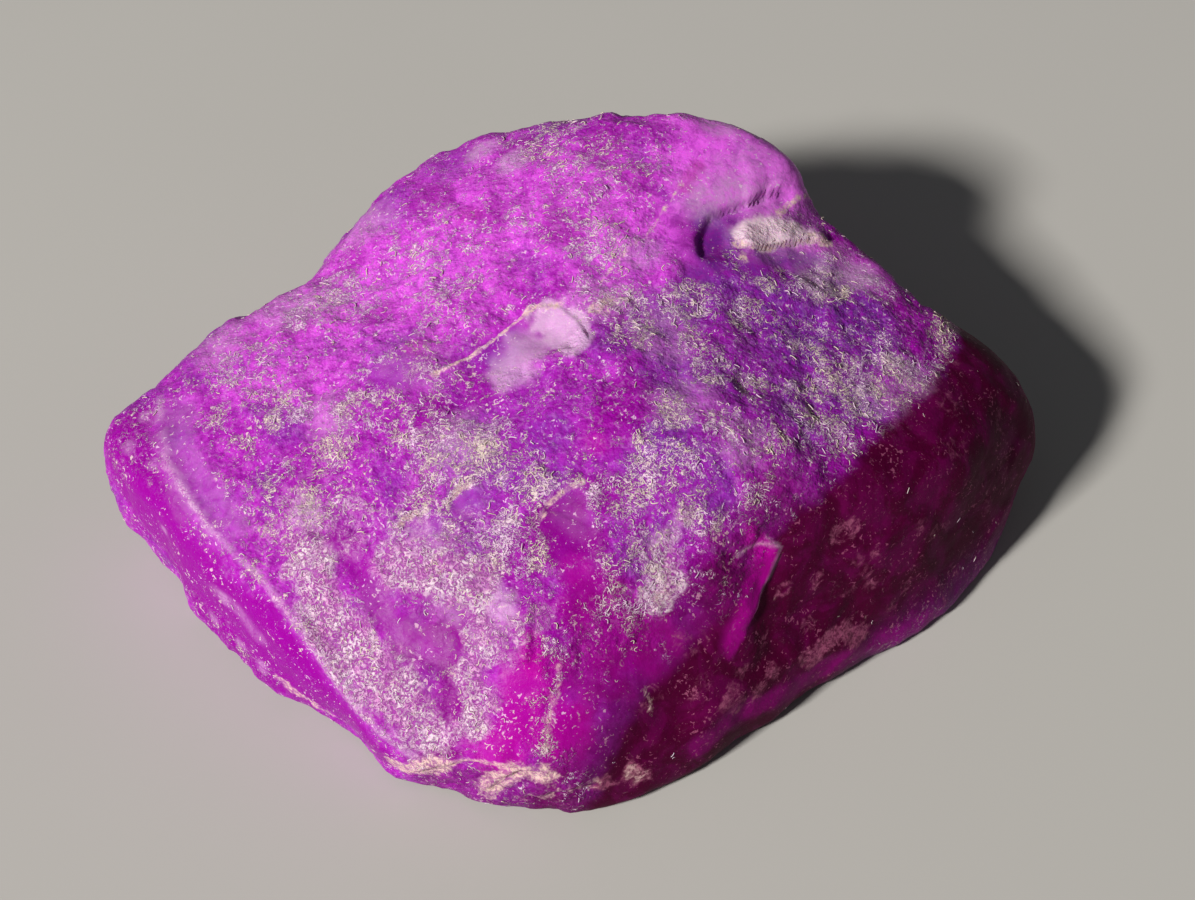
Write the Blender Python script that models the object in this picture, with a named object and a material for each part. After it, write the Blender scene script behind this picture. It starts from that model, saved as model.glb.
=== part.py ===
"""A sugilite nodule: one waxy, broken-faced stone about as long as a thumb joint, lying on its underside.

The stone is one solid. Its body is the space that a ring of natural break planes encloses, with their
edges worn round. Shell-shaped scars are struck out of it, an old crack steps down across its top, and
low swells and troughs run over the faces. All sizes are in millimetres until the mesh is made.

Axes: +X to the stone's blunt right end, +Y to its high back, +Z up, origin under the middle of its box.
"""

import math
from typing import NamedTuple

import bmesh
import bpy
import numpy as np
from mathutils import Vector, noise

MM = 0.001  # metres in a millimetre

Place = tuple[float, float, float]

# Driving sizes, in millimetres where they are lengths.
HEART: Place = (0.0, 0.0, 6.0)  # the point inside that every face is seen from
EDGE_WEAR = 28.0  # how sharply two faces meet: a lower number wears the edge rounder
EDGE_PARTS = 22  # parts along each edge of the starting icosahedron: 20 faces x 22 x 22 triangles
SPREAD = (6.5, 5.7, 3.4)  # stretches the starting ball so that the triangles come out even
LIFT = 0.5  # moves the starting ball up, so that the top has more triangles than the underside
CRACK_RAMP = 0.6  # how wide the slope down a ledge is
END_SHARE = 0.2  # the share of a ledge over which it dies out at each end


class Face(NamedTuple):
    """A break plane. It looks along azimuth (0 to +X, 90 to +Y) and tilt above level, through a place."""

    name: str
    azimuth: float
    tilt: float
    through: Place


class Scar(NamedTuple):
    """A shallow shell-shaped break that looks along azimuth and tilt. It is struck at the surface
    outside a place, and on a flat face it would be spread wide from its middle and depth deep."""

    name: str
    azimuth: float
    tilt: float
    place: Place
    spread: float
    depth: float


class Swell(NamedTuple):
    """A low ridge from start to end, or a trough where the height is negative."""

    name: str
    start: Place
    end: Place
    spread: float
    height: float


class Ledge(NamedTuple):
    """A step along a crack from start to end. The side that low_side points to lies lower by drop."""

    name: str
    start: Place
    end: Place
    low_side: Place
    drop: float
    fade: float


FACES = (
    Face("crown", -80, 86, (2.0, 0.0, 14.0)),
    Face("west slope", 174, 73, (-13.0, 4.0, 10.6)),
    Face("south west slope", -128, 66, (-13.0, -5.0, 9.0)),
    Face("east slope", -12, 70, (12.0, 3.0, 12.4)),
    Face("front slope", -118, 43, (-7.2, -10.9, 7.8)),
    Face("nose", -72, 44, (0.0, -12.9, 8.3)),
    Face("nose side", -58, 18, (4.2, -13.8, 4.5)),
    Face("left flank", 215, 3, (-21.6, -2.5, 3.5)),
    Face("front left flank", 228, 3, (-13.6, -10.5, 3.0)),
    Face("front left foot", 250, 2, (-6.0, -15.2, 2.0)),
    Face("left end", 175, 5, (-24.0, 2.0, 4.5)),
    Face("back left", 138, 28, (-15.8, 9.8, 8.0)),
    Face("back left hump", 120, 35, (-6.6, 18.0, 11.2)),
    Face("back", 88, 36, (1.0, 18.7, 11.3)),
    Face("back right hump", 57, 34, (7.2, 17.3, 11.7)),
    Face("back right", 46, 22, (17.0, 9.8, 9.0)),
    Face("right end", 8, 10, (27.4, 3.2, 3.0)),
    Face("right flank", -28, 14, (19.4, -4.4, 6.0)),
    Face("dark face", -50, 6, (12.2, -9.0, 5.0)),
    Face("right shoulder", -3, 43, (19.9, 3.5, 10.2)),
    Face("front foot", -81, 0, (1.2, -17.3, 1.5)),
    Face("under left", 190, -40, (-22.4, 0.0, 1.8)),
    Face("under back", 95, -40, (0.0, 17.5, 2.0)),
    Face("under back left", 132, -40, (-14.0, 10.5, 2.0)),
    Face("under back right", 48, -40, (15.5, 9.5, 2.0)),
    Face("under right", -18, -44, (23.0, -1.8, 1.0)),
    Face("under front", -95, -45, (-1.0, -17.2, 0.8)),
    Face("under front left", 222, -45, (-14.2, -10.2, 0.8)),
    Face("under front right", -55, -46, (10.4, -12.2, 0.7)),
    Face("underside", 0, -90, (0.0, 0.0, -0.2)),
)
SCARS = (
    Scar("notch", -40, 58, (10.6, 10.4, 12.0), 2.6, 0.5),
    Scar("chip", -110, 75, (-0.8, 2.9, 13.2), 1.7, 0.3),
    Scar("back shell", 74, 12, (4.0, 19.0, 6.5), 5.0, 0.8),
    Scar("back left shell", 130, 15, (-16.0, 10.5, 5.5), 4.0, 0.5),
    Scar("under shell", 10, -87, (8.0, 3.0, 0.0), 6.5, 0.9),
    Scar("small under shell", 200, -86, (-8.0, -4.0, 0.0), 4.5, 0.7),
)
SWELLS = (
    Swell("hump", (-6.0, 12.0, 11.5), (5.0, 14.0, 13.0), 4.5, 0.5),
    Swell("dome", (8.6, 15.0, 13.0), (10.4, 14.6, 12.6), 2.4, 0.9),
    Swell("valley", (-10.6, -4.1, 9.5), (-6.6, -11.8, 7.0), 1.3, -0.35),
    Swell("pale shoulder", (-12.5, -5.5, 9.0), (-7.9, -12.6, 5.0), 1.6, 0.35),
    Swell("middle rise", (-4.1, -5.4, 12.5), (-0.4, -9.8, 11.5), 2.4, 0.3),
    Swell("east hollow", (9.5, 3.0, 13.5), (11.5, -2.0, 12.5), 4.0, -0.35),
    Swell("west crease", (-14.6, 10.6, 9.0), (-10.4, 7.6, 11.0), 1.8, -0.8),
    Swell("left rim", (-20.6, 1.0, 7.6), (-12.8, -9.6, 6.2), 0.9, 0.45),
    Swell("low left rim", (-12.6, -9.8, 6.0), (-7.9, -14.2, 3.0), 0.9, 0.25),
    Swell("lip", (5.2, -14.4, 2.4), (14.0, -8.4, 2.4), 1.5, 0.3),
    Swell("foot hollow", (15.6, -8.4, 0.0), (15.2, -7.4, 2.5), 1.1, -0.4),
    Swell("right tip", (21.6, 6.2, 7.6), (23.5, 3.4, 4.6), 1.7, 0.5),
    Swell("right foot hollow", (22.6, 0.4, 1.0), (22.8, 1.2, 2.0), 1.2, -0.35),
    Swell("front right toe", (16.4, -6.4, 0.6), (18.0, -4.8, 0.4), 1.5, 0.45),
    Swell("front right hollow", (9.0, -12.2, 0.7), (11.0, -10.6, 0.5), 1.3, -0.4),
    Swell("front left hollow", (-12.0, -11.6, 0.9), (-10.8, -12.6, 0.9), 1.3, -0.55),
    Swell("left toe", (-17.6, -6.3, 1.3), (-13.4, -10.3, 1.3), 1.1, 0.3),
    Swell("left hollow", (-20.2, -3.5, 1.8), (-20.0, -3.8, 2.4), 1.2, -0.45),
    Swell("left tip", (-23.2, 0.6, 4.4), (-22.2, -0.9, 3.2), 1.2, 0.2),
    Swell("back left hollow", (-12.5, 12.0, 9.8), (-12.0, 12.6, 9.6), 1.4, -0.35),
)
LEDGES = (
    Ledge("old crack", (-7.2, -0.2, 12.6), (-0.9, 4.2, 13.4), (0.5, -0.85, 0.0), 0.5, 3.0),
    Ledge("flake edge", (8.8, -5.8, 9.0), (8.4, -10.6, 6.2), (1.0, 0.0, 0.0), 0.45, 1.6),
    Ledge("hump foot", (-2.6, 3.6, 13.3), (7.6, 10.6, 13.0), (0.5, -0.8, 0.0), 0.35, 4.0),
    Ledge("notch cliff", (4.6, 8.4, 12.8), (13.6, 14.6, 10.6), (0.45, -0.9, 0.0), 0.9, 2.6),
)
LUMPS = ((7.0, 0.5, 3.1), (3.0, 0.22, 8.4))  # size, height and seed of the random lumps


def way_of(azimuth: float, tilt: float) -> np.ndarray:
    """The unit vector along an azimuth and a tilt in degrees."""
    azimuth, tilt = math.radians(azimuth), math.radians(tilt)
    flat = math.cos(tilt)
    return np.array([flat * math.cos(azimuth), flat * math.sin(azimuth), math.sin(tilt)])


def body_reach(ways: np.ndarray) -> np.ndarray:
    """How far the worn body reaches from the heart along each unit way."""
    total = np.zeros(len(ways))
    for face in FACES:
        normal = way_of(face.azimuth, face.tilt)
        distance = normal @ (np.array(face.through) - HEART)
        total += np.clip(ways @ normal / distance, 0, None) ** EDGE_WEAR
    return total ** (-1 / EDGE_WEAR)


def struck(ways: np.ndarray, reach: np.ndarray, scar: Scar) -> np.ndarray:
    """The reach once a scar's ball is taken out."""
    radius = (scar.spread**2 + scar.depth**2) / (2 * scar.depth)
    towards = np.subtract(scar.place, HEART)
    towards = towards / np.linalg.norm(towards)
    surface = towards * body_reach(towards[None])[0]
    middle = surface + way_of(scar.azimuth, scar.tilt) * (radius - scar.depth)
    along = ways @ middle
    inside = along**2 - middle @ middle + radius**2
    near = along - np.sqrt(np.clip(inside, 0, None))
    return np.where((inside > 0) & (near > 0) & (near < reach), near, reach)


def swelling(points: np.ndarray, swell: Swell) -> np.ndarray:
    """How far a swell moves each point outwards."""
    start, run = np.array(swell.start), np.subtract(swell.end, swell.start)
    share = np.clip((points - start) @ run / (run @ run), 0, 1)
    away = np.linalg.norm(points - start - share[:, None] * run, axis=1) / swell.spread
    return swell.height * np.exp(-0.5 * away**2)


def ease(share: np.ndarray) -> np.ndarray:
    """0 to 1 with a smooth start and end."""
    share = np.clip(share, 0, 1)
    return share * share * (3 - 2 * share)


def stepping(points: np.ndarray, ledge: Ledge) -> np.ndarray:
    """How far a ledge moves each point inwards."""
    start, run = np.array(ledge.start), np.subtract(ledge.end, ledge.start)
    length = np.linalg.norm(run)
    side = np.array(ledge.low_side) - run * (run @ ledge.low_side) / length**2
    side = side / np.linalg.norm(side)
    share = (points - start) @ run / length**2
    across = (points - start) @ side
    ends = ease(share / END_SHARE) * ease((1 - share) / END_SHARE)
    falling = ease(across / CRACK_RAMP) * np.exp(-np.clip(across, 0, None) / ledge.fade)
    return ledge.drop * ends * falling


def lumpiness(points: np.ndarray, size: float, height: float, seed: float) -> np.ndarray:
    """Smooth random lumps of this size and height."""
    shift = Vector((seed, -seed, 2 * seed))
    return np.array([height * noise.noise(Vector(point) / size + shift) for point in points])


def stone_points(balls: np.ndarray) -> np.ndarray:
    """The stone's surface, in millimetres, for each point of a unit ball round its heart."""
    ways = balls * SPREAD + (0, 0, LIFT)
    ways /= np.linalg.norm(ways, axis=1)[:, None]
    reach = body_reach(ways)
    for scar in SCARS:
        reach = struck(ways, reach, scar)
    points = HEART + ways * reach[:, None]
    moved = sum(swelling(points, swell) for swell in SWELLS)
    moved -= sum(stepping(points, ledge) for ledge in LEDGES)
    moved += sum(lumpiness(points, *lump) for lump in LUMPS)
    points += ways * moved[:, None]
    points[:, 2] = np.clip(points[:, 2], 0, None)
    return points


def stone_mesh() -> bpy.types.Mesh:
    """The stone as one closed mesh of even triangles."""
    shape = bmesh.new()
    bmesh.ops.create_icosphere(shape, subdivisions=1, radius=1.0)
    bmesh.ops.subdivide_edges(
        shape, edges=shape.edges[:], cuts=EDGE_PARTS - 1, use_grid_fill=True
    )
    bmesh.ops.triangulate(shape, faces=shape.faces[:])
    points = stone_points(np.array([vert.co.normalized() for vert in shape.verts]))
    middle = (points.min(axis=0) + points.max(axis=0)) / 2
    for vert, point in zip(shape.verts, points - (middle[0], middle[1], 0), strict=True):
        vert.co = Vector(point) * MM
    bmesh.ops.recalc_face_normals(shape, faces=shape.faces[:])
    mesh = bpy.data.meshes.new("sugilite_nodule")
    shape.to_mesh(mesh)
    shape.free()
    return mesh


def sugilite() -> bpy.types.Material:
    """Waxy magenta purple stone."""
    material = bpy.data.materials.new("sugilite")
    material.use_nodes = True
    shader = material.node_tree.nodes["Principled BSDF"]
    shader.inputs["Base Color"].default_value = (0.36, 0.04, 0.38, 1)
    shader.inputs["Roughness"].default_value = 0.45
    shader.inputs["Metallic"].default_value = 0.0
    return material


def main() -> None:
    """Clears the scene and builds the stone."""
    for old in list(bpy.data.objects):
        bpy.data.objects.remove(old)
    mesh = stone_mesh()
    mesh.materials.append(sugilite())
    mesh.shade_smooth()
    stone = bpy.data.objects.new("sugilite_nodule", mesh)
    bpy.context.scene.collection.objects.link(stone)


main()
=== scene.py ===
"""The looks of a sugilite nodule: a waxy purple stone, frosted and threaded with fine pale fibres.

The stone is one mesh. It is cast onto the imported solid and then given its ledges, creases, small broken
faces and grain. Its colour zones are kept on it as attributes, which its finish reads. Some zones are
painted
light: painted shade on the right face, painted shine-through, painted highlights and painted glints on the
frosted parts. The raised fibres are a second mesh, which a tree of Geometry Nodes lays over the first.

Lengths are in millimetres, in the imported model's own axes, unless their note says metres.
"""

import logging
import math
from dataclasses import dataclass, field
from enum import Enum

import bmesh
import bpy
import numpy as np
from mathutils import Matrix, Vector, noise
from mathutils.bvhtree import BVHTree


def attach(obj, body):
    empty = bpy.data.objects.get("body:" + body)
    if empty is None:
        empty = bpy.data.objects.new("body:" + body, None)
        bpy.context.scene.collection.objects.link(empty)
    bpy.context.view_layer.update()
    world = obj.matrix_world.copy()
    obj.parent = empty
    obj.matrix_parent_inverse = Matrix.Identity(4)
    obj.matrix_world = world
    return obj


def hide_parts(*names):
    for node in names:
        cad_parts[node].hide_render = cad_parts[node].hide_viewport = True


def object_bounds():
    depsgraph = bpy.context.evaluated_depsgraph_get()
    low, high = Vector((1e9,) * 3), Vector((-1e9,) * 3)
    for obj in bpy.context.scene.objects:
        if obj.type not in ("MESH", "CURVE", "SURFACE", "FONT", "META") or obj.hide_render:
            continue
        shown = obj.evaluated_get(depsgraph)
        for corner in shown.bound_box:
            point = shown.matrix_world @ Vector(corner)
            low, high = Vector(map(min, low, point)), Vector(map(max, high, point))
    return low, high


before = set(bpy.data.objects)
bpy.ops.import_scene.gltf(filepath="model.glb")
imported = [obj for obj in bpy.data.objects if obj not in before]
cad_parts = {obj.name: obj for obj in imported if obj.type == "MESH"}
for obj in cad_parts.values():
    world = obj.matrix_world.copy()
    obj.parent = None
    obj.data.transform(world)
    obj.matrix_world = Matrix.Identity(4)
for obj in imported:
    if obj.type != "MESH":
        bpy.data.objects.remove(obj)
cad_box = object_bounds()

MM = 0.001  # metres in a millimetre
NODE = "sugilite_nodule"
BODY = "root"
BOX_MARGIN = 0.01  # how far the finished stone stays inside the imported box
MERGE_GAP = 0.001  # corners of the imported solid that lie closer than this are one
MERGE_DIGITS = 6  # corners of the unit ball that agree to this many digits are one
LUMP_FADE = 0.9  # how fast a random surface's finer lumps lose height
LUMP_STEP = 2.0  # how many times finer each next set of lumps is
LEDGE_END = 4.0  # a ledge has no effect past this many times its fade
NET_STRIDE = 13.0  # sets a net's cells far apart where their random leans are read

Place = tuple[float, float, float]
Colour = tuple[float, float, float, float]
Socket = bpy.types.NodeSocket

log = logging.getLogger("sugilite_nodule")


class Zone(Enum):
    """A zone of colour or texture, by the name of the attribute that carries it."""

    # real pink, and painted light on the notch floor
    PINK_AND_PAINTED_LIGHT = "pink_and_painted_light"
    DEEP = "deep"
    VIOLET = "violet"
    # painted shade: where dark red-purple colours stand for the shade on the stone
    PAINTED_SHADE = "painted_shade_wine"
    HAZE = "haze"
    THREADS = "threads"
    # pale frosted grains, partly painted glints of sheen
    FROST_AND_PAINTED_GLINTS = "frost_and_painted_glints"
    BLOTCH = "blotch"
    SMOOTH = "smooth"
    # painted light: a red magenta that stands for light shining through the stone and for lit edges
    GLOW = "painted_glow"
    # the chips' real pale violet, and a painted highlight along the flake's lit edge and tip
    LAVENDER_AND_PAINTED_HIGHLIGHT = "lavender_and_painted_highlight"
    TAN = "tan"
    # the wedge's real pale colour, brightened as painted light to make up for shade on it
    CHALK_AND_PAINTED_LIGHT = "chalk_and_painted_light"


def new_object(name: str, data: bpy.types.ID) -> bpy.types.Object:
    """Adds an object to the scene.

    Args:
        name: its name.
        data: its mesh, light or camera.

    Returns:
        The object, at the origin.
    """
    made = bpy.data.objects.new(name, data)
    bpy.context.scene.collection.objects.link(made)
    return made


def ease(share: np.ndarray) -> np.ndarray:
    """0 to 1 with a smooth start and end."""
    share = np.clip(share, 0, 1)
    return share * share * (3 - 2 * share)


def rise(distance: np.ndarray, width: float) -> np.ndarray:
    """0 to 1 across a border of a given width, and one half on the border itself."""
    return ease(distance / width + 0.5)


def taper(along: np.ndarray, ends: float) -> np.ndarray:
    """1 in the middle of a path, falling to 0 over a given share of it at each end."""
    return ease(along / ends) * ease((1 - along) / ends)


def toned_down(rough: np.ndarray, kept: float) -> np.ndarray:
    """1 where the stone is rough, and the share that is kept where it is smooth."""
    return kept + (1 - kept) * rough


def beside_path(
    points: np.ndarray, normals: np.ndarray, path: tuple[Place, ...]
) -> tuple[np.ndarray, np.ndarray, np.ndarray]:
    """Measures points against a path of straight runs.

    Args:
        points: places to measure, one a row.
        normals: the outward way of the surface at each point.
        path: the places that the path runs through.

    Returns:
        Each point's distance from the path, its distance to the right of it as seen from outside,
        and how far along the path it lies, 0 to 1.
    """
    bends = np.array(path)
    runs = np.diff(bends, axis=0)
    lengths = np.linalg.norm(runs, axis=1)
    before = np.concatenate([[0.0], np.cumsum(lengths)])
    nearest = np.full(len(points), np.inf)
    right = np.zeros(len(points))
    along = np.zeros(len(points))
    for index, (start, run, length) in enumerate(zip(bends, runs, lengths)):
        offset = points - start
        share = np.clip(offset @ run / length**2, 0, 1)
        away = offset - share[:, None] * run
        distance = np.linalg.norm(away, axis=1)
        side = np.einsum("ij,ij->i", away, np.cross(run / length, normals))
        nearer = distance < nearest
        nearest = np.where(nearer, distance, nearest)
        right = np.where(nearer, side, right)
        along = np.where(nearer, (before[index] + share * length) / before[-1], along)
    return nearest, right, along


@dataclass(frozen=True)
class Lumps:
    """Smooth random swells and hollows.

    Attributes:
        size: the width of one lump.
        height: about how far the values reach from 0, up and down.
        seed: shifts the pattern to another part of it.
        octaves: how many sets of lumps are added up, each finer than the last.
    """

    size: float
    height: float
    seed: float
    octaves: int = 3

    def at(self, points: np.ndarray) -> np.ndarray:
        """The pattern's value at each point.

        Args:
            points: places to value, one a row.

        Returns:
            One value a point.
        """
        shift = Vector((self.seed, 2 * self.seed, -self.seed))
        places = (Vector(point) / self.size + shift for point in points)
        values = [noise.fractal(place, LUMP_FADE, LUMP_STEP, self.octaves) for place in places]
        return self.height * np.array(values)


class Shape(Enum):
    """What a marking's places stand for."""

    SPOTS = "the middles of separate spots"
    LINE = "the bends of one line"
    RIGHT_SIDE = "the bends of a border, with the marking on its right as seen from outside"


@dataclass(frozen=True)
class Marking:
    """Spots, a line or one side of a border that belong to a zone.

    Attributes:
        share: how strong it is at its middle, 0 to 1.
        reach: how far it spreads from its places.
        places: the places that shape it.
        shape: what its places stand for.
        edge: the part of its reach over which it fades, or the width of a border in millimetres.
    """

    share: float
    reach: float
    places: tuple[Place, ...]
    shape: Shape = Shape.SPOTS
    edge: float = 0.8

    def cover(self, points: np.ndarray, normals: np.ndarray, ragged: np.ndarray) -> np.ndarray:
        """How much of the zone it gives each point.

        Args:
            points: places on the stone, one a row.
            normals: the outward way at each point.
            ragged: random values that make its outline uneven.

        Returns:
            One share a point.
        """
        if self.shape is Shape.SPOTS:
            away = np.min([np.linalg.norm(points - place, axis=1) for place in self.places], axis=0)
        else:
            away, right, _ = beside_path(points, normals, self.places)
        if self.shape is Shape.RIGHT_SIDE:
            inside = rise(right + ragged * self.edge, self.edge)
            return self.share * inside * ease(2 * (1 - away / self.reach))
        return self.share * rise(1 + ragged - away / self.reach, self.edge)


@dataclass(frozen=True)
class Ledge:
    """A step along a crack. The side to the right of its path, as seen from outside, lies lower.

    Attributes:
        path: the places that the crack runs through.
        drop: how much lower the right side lies.
        ramp: the width of the slope between the two sides.
        fade: how far from the crack the right side rises back.
        ends: the share of the path over which it dies out at each end.
    """

    path: tuple[Place, ...]
    drop: float
    ramp: float = 0.18
    fade: float = 1.6
    ends: float = 0.15

    def lift(self, points: np.ndarray, normals: np.ndarray) -> np.ndarray:
        """How far it moves each point outwards.

        Args:
            points: places on the stone, one a row.
            normals: the outward way at each point.

        Returns:
            One length a point, negative where the point moves in.
        """
        away, right, along = beside_path(points, normals, self.path)
        near = np.exp(-np.clip(away, 0, None) / self.fade) * (away < LEDGE_END * self.fade)
        return -self.drop * taper(along, self.ends) * rise(right, self.ramp) * near


@dataclass(frozen=True)
class Crease:
    """A narrow ridge along a path, or a groove where its height is negative.

    Attributes:
        path: the places that it runs through.
        reach: how far from the path it falls to about 0.6 of its height.
        height: how high it stands.
        ends: the share of the path over which it dies out at each end.
    """

    path: tuple[Place, ...]
    reach: float
    height: float
    ends: float = 0.12

    def lift(self, points: np.ndarray, normals: np.ndarray) -> np.ndarray:
        """How far it moves each point outwards.

        Args:
            points: places on the stone, one a row.
            normals: the outward way at each point.

        Returns:
            One length a point, negative where the point moves in.
        """
        away, _, along = beside_path(points, normals, self.path)
        return self.height * taper(along, self.ends) * np.exp(-0.5 * (away / self.reach) ** 2)


@dataclass(frozen=True)
class Facets:
    """Small worn break faces. Each cell of a random net leans its own way.

    Attributes:
        size: the width of one face.
        lean: the most that a face leans along any axis, as rise over run.
        seed: shifts the net to another part of it.
        sharp: how sudden the change from one face to the next is.
    """

    size: float
    lean: float
    seed: float
    sharp: float = 12.0

    def lift(self, points: np.ndarray) -> np.ndarray:
        """How far the faces move each point outwards.

        Args:
            points: places on the stone, one a row.

        Returns:
            One length a point.
        """
        shift = Vector((self.seed, -self.seed, self.seed))
        lifts = []
        for point in points:
            place = Vector(point) / self.size + shift
            away, cells = noise.voronoi(place)
            total = weight = 0.0
            for distance, cell in zip(away, cells):
                nearness = math.exp(self.sharp * (away[0] - distance))
                lean = noise.cell_vector(cell * NET_STRIDE) * 2 - Vector((1, 1, 1))
                total += nearness * lean.dot(place - cell)
                weight += nearness
            lifts.append(total / weight)
        return np.array(lifts) * self.lean * self.size


LEFT_RIM = (
    (-20.3, 0.4, 8.3), (-19.4, -3.9, 8.3), (-17.3, -7.0, 7.8), (-14.2, -10.3, 7.4), (-12.3, -12.5, 6.5),
    (-10.0, -15.0, 4.6), (-8.0, -16.9, 3.7), (-7.0, -17.3, 3.3),
)
INNER_RIM = ((-12.5, -11.6, 7.2), (-11.6, -12.9, 6.3), (-9.5, -15.2, 4.7))
LOW_PLATE = ((-1.5, -13.2, 10.0), (-1.6, -14.6, 8.8), (-1.7, -15.6, 8.0))
RIM_BAND = ((-19.5, -1.0, 8.6), (-18.9, -3.2, 8.6), (-17.9, -5.4, 8.2), (-16.3, -7.4, 8.1))
LEFT_STRIP = (
    (-22.0, -1.8, 7.6), (-21.5, -3.2, 7.3), (-20.5, -5.0, 6.5), (-19.0, -7.0, 5.6), (-17.3, -8.8, 5.5),
    (-16.0, -10.2, 5.0), (-14.0, -12.3, 4.4), (-12.8, -13.4, 3.4),
)
STRIP_FOOT = ((-19.4, -7.4, 4.2), (-17.3, -9.2, 2.9), (-15.9, -10.7, 2.8), (-14.6, -11.8, 2.6))
LOW_STRIP = (
    (-14.3, -11.3, 6.3), (-13.0, -12.9, 5.2), (-11.6, -14.1, 3.9), (-10.2, -15.4, 3.0),
    (-8.8, -16.6, 2.2),
)
FROST_VALLEY = (
    (-10.6, -9.2, 9.2), (-10.0, -10.1, 8.9), (-9.3, -11.0, 8.5), (-8.4, -12.4, 7.9), (-7.4, -13.6, 7.3),
    (-6.2, -14.3, 7.2),
)
FROST_GROOVE = (
    (-6.2, -13.7, 7.8), (-5.2, -13.9, 8.1), (-5.3, -14.7, 7.3), (-5.1, -15.8, 6.6), (-5.4, -16.6, 5.7),
    (-5.5, -17.2, 4.7),
)
OLD_CRACK = ((-6.4, -1.7, 12.5), (-4.5, -0.7, 12.9), (-3.0, 0.5, 13.3), (-1.8, 1.5, 13.7))
DOME_CRACK = ((1.2, 2.4, 14.0), (2.6, 4.3, 14.4), (4.0, 5.8, 14.6), (5.0, 7.7, 14.8), (5.8, 8.9, 15.0))
CHIP_EDGE = ((-1.8, 1.5, 13.7), (-0.4, 1.5, 13.7), (0.5, 0.4, 13.8), (1.1, -1.3, 14.1))
NOTCH_CLIFF = (
    (6.4, 4.2, 14.0), (6.3, 5.7, 14.1), (7.0, 7.1, 14.3), (8.8, 8.3, 14.0), (9.7, 9.1, 13.7),
    (11.0, 10.2, 13.2),
)
NOTCH_CREVICE = ((7.4, 7.2, 14.4), (8.4, 7.9, 14.2), (9.2, 8.5, 13.9), (10.0, 9.3, 13.7))
NOTCH_FLOOR = ((9.0, 6.4, 13.3), (10.5, 7.0, 12.5), (12.5, 7.0, 11.6), (14.5, 6.0, 11.2))
WEDGE = (
    (8.2, 6.6, 13.8), (9.0, 6.5, 13.6), (10.1, 7.3, 12.8), (10.9, 7.6, 12.3), (11.9, 7.9, 11.7),
    (12.9, 7.9, 11.5),
)
WEDGE_EDGE = (
    (13.1, 7.7, 11.4), (11.7, 7.4, 11.8), (10.8, 6.9, 12.1), (9.8, 6.1, 12.9), (8.9, 5.7, 13.5),
    (8.1, 5.8, 13.8),
)
DOME_EDGE = (
    (7.6, 14.0, 14.2), (9.8, 13.0, 13.9), (11.0, 11.3, 13.6), (11.3, 10.2, 13.3), (11.2, 9.0, 13.0),
)
DOME_FOOT = ((6.0, 7.4, 14.7), (7.8, 8.6, 14.5), (9.2, 9.5, 14.2))
TAN_STRIP = ((10.2, 8.5, 12.9), (11.3, 9.9, 12.7), (12.1, 10.8, 12.0))
FLAKE_EDGE = (
    (9.1, -9.6, 10.1), (9.8, -9.8, 9.5), (9.7, -10.2, 9.0), (9.4, -10.6, 8.4), (8.9, -11.3, 7.8),
    (8.7, -11.9, 7.2), (8.2, -12.8, 6.5),
)
FLAKE_BAND = ((8.9, -10.1, 9.6), (8.7, -10.9, 8.7), (8.3, -11.8, 8.0), (8.1, -12.4, 7.2))
FLAKE_TIP = (
    (7.4, -11.1, 9.8), (7.9, -10.7, 10.0), (8.3, -10.4, 10.1), (8.9, -9.9, 9.9), (9.7, -9.8, 9.6),
)
LOW_RIM = (
    (6.2, -16.1, 2.4), (7.7, -15.1, 2.9), (9.7, -13.6, 2.4), (11.2, -12.3, 1.8), (12.7, -11.3, 2.0),
    (14.2, -10.2, 1.7), (16.4, -8.9, 1.2), (18.0, -7.7, 0.8),
)
BROW_THREADS = ((14.5, -4.6, 10.9), (16.8, -1.6, 10.6), (18.6, 2.2, 9.9), (18.9, 5.0, 9.6))
FRONT_LEDGE = (
    (-7.9, -17.0, 2.0), (-6.6, -17.5, 2.6), (-5.8, -17.6, 3.2), (-4.4, -18.0, 4.3), (-3.0, -18.3, 4.4),
    (-2.2, -18.5, 4.2),
)
FRONT_CHIP = ((-3.8, -18.4, 2.0), (-3.0, -18.5, 3.3), (-2.2, -18.6, 4.1), (-1.0, -18.7, 3.9))
SCALLOPS = (
    ((-5.7, -8.5, 10.9), (-5.4, -8.2, 11.1), (-5.1, -7.9, 11.4), (-4.4, -7.7, 11.7)),
    ((-1.1, -9.8, 11.6), (-1.0, -9.3, 11.8), (-0.7, -9.0, 11.9), (-0.1, -8.6, 12.2), (0.7, -8.3, 12.4)),
    ((-7.9, -9.1, 10.0), (-7.5, -8.7, 10.3), (-7.0, -8.5, 10.5), (-6.3, -8.5, 10.7)),
)
SCALLOP_FLOORS = (
    (-4.9, -8.7, 11.1), (-4.4, -8.5, 11.3), (0.2, -9.7, 11.8), (0.4, -9.3, 12.0), (0.6, -10.0, 11.8),
    (-7.0, -9.3, 10.3), (-6.3, -9.2, 10.5),
)
FRONT_THREAD = (
    (-0.3, -15.6, 8.0), (-0.4, -16.2, 7.3), (-0.6, -16.7, 6.7), (-0.8, -17.3, 6.1), (-0.9, -17.8, 5.5),
    (-1.0, -18.1, 5.1),
)
FRONT_SPECK = ((3.5, -15.5, 6.1), (3.9, -15.7, 5.5), (3.9, -16.1, 4.9))
LOW_CHIP = ((-2.2, -18.7, 1.8), (-0.3, -18.9, 2.8), (1.5, -18.3, 2.7))
FOOT_LIP = (
    (5.3, -16.4, 3.1), (6.9, -15.2, 3.8), (8.6, -13.9, 3.8), (10.5, -12.2, 4.0), (12.6, -11.0, 3.3),
    (14.7, -9.7, 1.9),
)
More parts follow.
